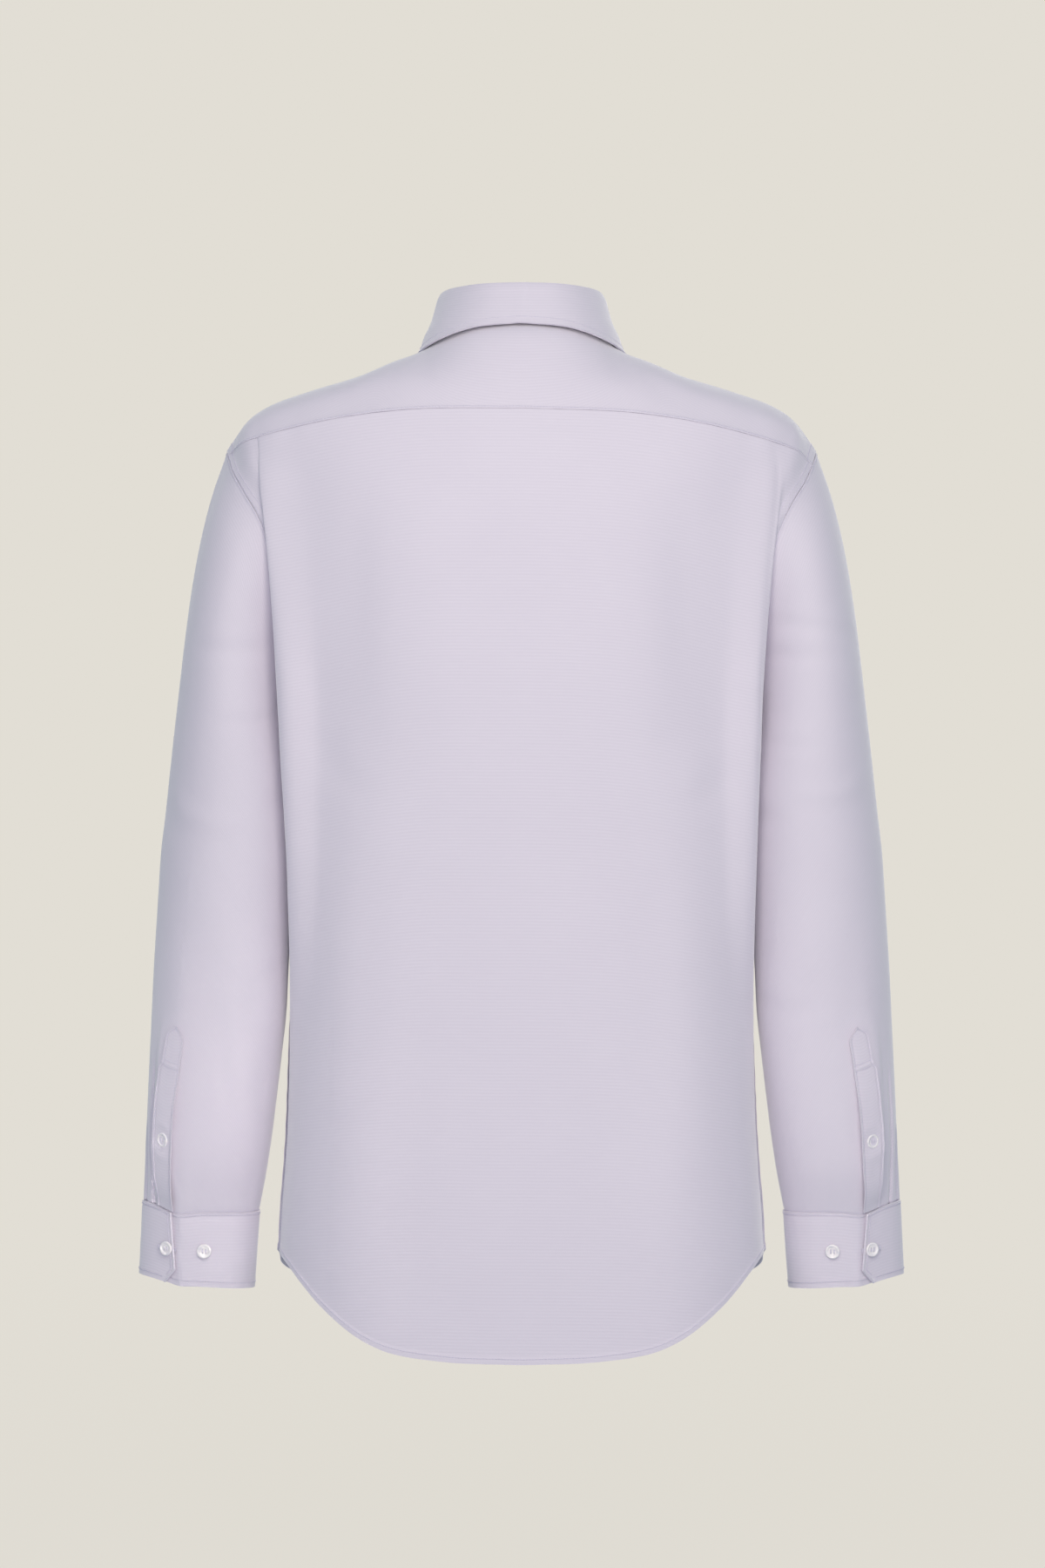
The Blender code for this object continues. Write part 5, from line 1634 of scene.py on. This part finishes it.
def fine_cuff(name):
    """The cuff's surface, finely: rows down and columns from its outer end round."""
    shares = np.concatenate([np.linspace(0, CORNER_SHARE, 20), np.linspace(0.81, 1, 8)])
    parts = np.concatenate([[0, 0.002, 0.004, 0.007, 0.011, 0.016], np.linspace(0.022, 0.985, 116),
                            [0.991, 0.996, 1.0]])
    rows = []
    for share in shares:
        form = read(CUFF, "share", RING, share)
        end = cuff_end(name) + (CUFF_END["bottom"] - CUFF_END["top"]) * share
        cut = max(0.0, share - CORNER_SHARE) / (1 - CORNER_SHARE) * CUFF_CORNER
        row = []
        for part in parts:
            turn = end + cut / CUFF_DEGREE * (1 - part) ** 3 + part * (360 + CUFF_OVERLAP)
            angle = math.radians(90 - turn)
            point, across = (ring_point(a, cuff_z(share), *form) for a in (angle, angle + math.pi))
            row.append(point + unit(point - across) * cuff_layer(part))
        rows.append(row)
    grid = np.array(rows)
    grid[..., 2] += dip(grid, name) * (1 - 0.5 * shares[:, None])
    return pressed(grid, name)


def add_cuff(sign, name):
    grid = drawn_in(fine_cuff(name), top=SEAM_GAP / 2)
    grid[..., 0] *= sign
    around = grid.mean(axis=1, keepdims=True) + 0 * grid
    top, bottom, first = (run(grid, edge) for edge in ("top", "bottom", "first"))
    amount = 0.25 * ripple(first, 40, 71 + sign) * np.sin(math.pi * np.clip(top / CUFF_HEIGHT, 0, 1))
    amount += 0.12 * ripple(first, 7, 74 + sign) * np.exp(-np.minimum(top, bottom) / 5)
    amount += 1.3 * bell(first, 1.5) + 0.3 * bell(top, 1.0) - 0.35 * bell(top - 2.1, 0.6)
    grid = displaced(grid, amount, around=around)
    shell("cuff_" + name, grid, 1.6, around)
    by_top, by_bottom, by_end = (
        line_inside(grid, edge, distance, 0.8 + PROUD, around=around)
        for edge, distance in (("top", 2.1), ("bottom", 4.5), ("first", 4.5)))
    add_stitches("cuff_" + name, [by_top, by_bottom[6:], by_end[1:-4]])


def neck_axis(grid):
    """The line up the neck's middle, for telling the collar's outside."""
    return grid * UP + np.array([0, -2.0, 0])


def add_collar_stand(shares):
    grid = np.array([[stand_point(share, up) for share in shares] for up in STAND_ROWS])
    grid = fine_grid(drawn_in(lapped(grid), bottom=0.5), 2.6, "tb")
    around = neck_axis(grid)
    grid = displaced(grid, 0.12 * ripple(run(grid, "first"), 9, 81), around=around)
    shell("collar_stand", grid, 1.4, around)
    add_stitches("collar_stand", [line_inside(grid, "bottom", 1.6, lift, around=around)
                                  for lift in (0.7 + PROUD, -0.7 - PROUD)])


def add_collar_leaf(shares):
    grid = fine_grid(np.array([leaf_column(share) for share in shares]).transpose(1, 0, 2), 2.4, "tbfl")
    around = neck_axis(grid)
    bottom, first, last = (run(grid, edge) for edge in ("bottom", "first", "last"))
    edge = np.minimum(np.minimum(first, last), bottom)
    beside = np.clip((abs(grid[..., 0]) - 50) / 25, 0, 1)
    grid[..., 2] -= (0.9 + 1.3 * beside) * bell(bottom, 11) - 1.3 * np.clip(bottom / 30, 0, 1)
    amount = 1.3 * beside * bell(bottom - 16, 9) - 0.1 * bell(edge - 5.8, 0.9)
    amount += 0.1 * ripple(first, 9, 83) * np.exp(-bottom / 6)
    grid = displaced(grid, amount, around=around)
    shell("collar_leaf", grid, 1.4, around)
    lines = [line_inside(grid, e, 5.8, 0.72, around=around)[start:-4]
             for e, start in (("bottom", 4), ("first", 8), ("last", 8))]
    add_stitches("collar_leaf", lines, width=0.3)


def add_placket_button(name, mesh, side):
    """The button halfway down a placket's strip."""
    z = PLACKET_BUTTON_Z
    turn = float(smooth(PLACKET["z"], PLACKET["turn"], z)) + PLACKET_TURN[name]
    out = surface_out(lambda a, b: sleeve_ring(math.radians(90 - a), b), turn, z)
    seat = sleeve_ring(math.radians(90 - turn), z) + out * (PLACKET_LIFT + CLOTH / 2)
    add_button("button_gauntlet_" + name, mesh, (seat + out * BUTTON_SEAT) * side, out * side)
    add_buttonhole("gauntlet_" + name, (seat + out * 0.95) * side, out * side, UP)


def add_cuff_buttons(name, mesh, side):
    """A cuff's fastened button, with its buttonhole, and the free one beside it."""
    share = CUFF_BUTTON_SHARE
    for label, spot in CUFF_BUTTONS.items():
        turn = spot + PLACKET_TURN[name] * CUFF_TURN_SHARE
        out = surface_out(cuff_ring, turn, share)
        part = (spot - (CUFF_END["top"] + CUFF_END["bottom"]) / 2) / (360 + CUFF_OVERLAP)
        seat = cuff_ring(turn, share) + out * (cuff_layer(part) + CUFF_CLOTH / 2)
        seat[2] += float(dip(seat, name)) * (1 - 0.5 * share)
        seat = pressed(seat, name)
        place = (seat + out * BUTTON_SEAT) * side
        add_button("button_cuff_" + label + "_" + name, mesh, place, out * side)
        if label == "fastened":
            along = unit(cuff_ring(turn + 1, share) - cuff_ring(turn - 1, share)) * side
            add_buttonhole("cuff_" + name, (seat - out * 0.1) * side, out * side, along)


def add_front_buttons(mesh):
    """The buttons down the front, and the one on the stand."""
    middle = front_column(0.0)
    for k in range(FRONT_BUTTONS):
        z = FRONT_BUTTON_TOP_Z - FRONT_BUTTON_PITCH * k
        y, y_below = (float(np.interp(down, -middle[:, 2], middle[:, 1])) for down in (-z, 5 - z))
        out = unit(np.array([0.0, 1.0, (y_below - y) / 5]))
        seat = np.array([0.0, y, z]) + out * (PLACKET_LIFT + CLOTH / 2)
        add_button(f"button_front_{k + 1}", mesh, seat + out * BUTTON_SEAT, out)
        add_buttonhole(f"front_{k + 1}", seat + out * 0.1, out, UP)
    low, high = stand_point(FRONT_SHARE, 0.0), stand_point(FRONT_SHARE, 1.0)
    out = unit(np.cross(np.array([-1.0, 0, 0]), high - low))
    seat = (low + high) / 2 + out * STAND_CLOTH / 2
    add_button("button_stand", mesh, seat + out * BUTTON_SEAT, out)
    add_buttonhole("stand", seat - out * 0.1, out, np.array([1.0, 0, 0]))


def add_shirt():
    back, yoke, fronts = back_grid(), yoke_grid(), front_grids()
    add_back(back)
    add_yoke(yoke)
    for sign, name in SIDES:
        add_front(sign, name, fronts[sign])
    add_band()
    for sign, name in SIDES:
        add_sleeve(sign, name, armhole_loop(back, yoke, fronts[sign], sign))
        add_gauntlet(sign, name)
        add_cuff(sign, name)
    half = np.linspace(0, NECK_CORNER, 2 * NECK_COLUMNS + 1)
    shares = both_sides(np.concatenate([half, NECK_CORNER + half[1:]]))
    add_collar_stand(shares)
    add_collar_leaf(shares)
    mesh = button_mesh(PEARL)
    for sign, name in SIDES:
        side = np.array([sign, 1.0, 1.0])
        add_placket_button(name, mesh, side)
        add_cuff_buttons(name, mesh, side)
    add_front_buttons(mesh)


# ---------------------------------------------------------------------------
# The studio


def mixed_shaders(tree, factor, first, second, output):
    """Sends a mix of two shaders to an output node of this kind."""
    mix = node(tree, "ShaderNodeMixShader")
    made = node(tree, output)
    tree.links.new(factor, mix.inputs["Fac"])
    tree.links.new(first.outputs[0], mix.inputs[1])
    tree.links.new(second.outputs[0], mix.inputs[2])
    tree.links.new(mix.outputs[0], made.inputs["Surface"])


def empty_tree(owner):
    """The node tree of a material or a world, without the nodes it starts with."""
    owner.use_nodes = True
    owner.node_tree.nodes.clear()
    return owner.node_tree


def add_floor():
    """A pale floor that glows in the backdrop's colour, and takes a soft shadow in its middle."""
    mesh = bpy.data.meshes.new("floor")
    form = bmesh.new()
    bmesh.ops.create_circle(form, cap_ends=True, segments=96, radius=9.0)
    form.to_mesh(mesh)
    form.free()
    floor = bpy.data.objects.new("floor", mesh)
    floor.location = (0, 0, FLOOR_Z)
    bpy.context.scene.collection.objects.link(floor)
    material = bpy.data.materials.new("floor")
    tree = empty_tree(material)
    glow = node(tree, "ShaderNodeEmission", Strength=1.0, Color=(*BACKGROUND, 1))
    matt = node(tree, "ShaderNodeBsdfDiffuse", Color=(*BACKGROUND, 1))
    away = node(tree, "ShaderNodeVectorMath", operation="LENGTH")
    tree.links.new(object_place(tree), away.inputs[0])
    fade = node(tree, "ShaderNodeMapRange")
    for name, value in zip(("From Min", "From Max", "To Min", "To Max"), (*FLOOR_FADE, 0.05, 0.0)):
        fade.inputs[name].default_value = value
    tree.links.new(away.outputs["Value"], fade.inputs["Value"])
    mixed_shaders(tree, fade.outputs["Result"], glow, matt, "ShaderNodeOutputMaterial")
    mesh.materials.append(material)
    floor.visible_diffuse = False
    floor.visible_glossy = False


def add_world():
    """The backdrop's own colour where the camera sees it, and a weaker light from all round."""
    world = bpy.data.worlds.new("studio")
    tree = empty_tree(world)
    light = node(tree, "ShaderNodeBackground", Color=(*AMBIENT, 1))
    seen = node(tree, "ShaderNodeBackground", Color=(*BACKGROUND, 1))
    path = node(tree, "ShaderNodeLightPath")
    mixed_shaders(tree, path.outputs["Is Camera Ray"], light, seen, "ShaderNodeOutputWorld")
    bpy.context.scene.world = world


def add_lights():
    for name, place, target, size, power, color in LIGHTS:
        lamp = bpy.data.lights.new(name, "AREA")
        lamp.color = color
        if name.endswith("cuff"):
            lamp.spread = math.radians(CUFF_LIGHT_SPREAD)
        lamp.shape, lamp.size, lamp.size_y, lamp.energy = "RECTANGLE", size[0], size[1], power
        thing = bpy.data.objects.new(name, lamp)
        thing.location = place
        thing.rotation_euler = (Vector(target) - Vector(place)).to_track_quat("-Z", "Y").to_euler()
        thing.visible_camera = False
        bpy.context.scene.collection.objects.link(thing)


def add_camera():
    """A level camera 3 m behind the shirt, with the photograph's own view."""
    view = bpy.data.cameras.new("camera")
    view.sensor_fit = "VERTICAL"
    view.sensor_height = SENSOR_HEIGHT
    view.lens = SENSOR_HEIGHT / 2 * -CAMERA_PLACE[1] / VIEW_HALF_HEIGHT
    camera = bpy.data.objects.new("camera", view)
    camera.location = CAMERA_PLACE
    camera.rotation_euler = (math.pi / 2, 0, 0)
    bpy.context.scene.collection.objects.link(camera)
    bpy.context.scene.camera = camera
    bpy.context.scene.view_settings.view_transform = "Standard"


# ---------------------------------------------------------------------------
# The whole scene


CLOTH_SKIN = cloth_material("lavender_poplin", (0.735, 0.69, 0.79), (0.64, 0.595, 0.70))
THREAD = thread_material("lavender_thread", (0.72, 0.69, 0.80), (0.56, 0.53, 0.66))
PEARL = pearl_material("pearl")

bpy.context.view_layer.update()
add_shirt()
add_floor()
add_world()
add_lights()
add_camera()
bpy.context.view_layer.update()
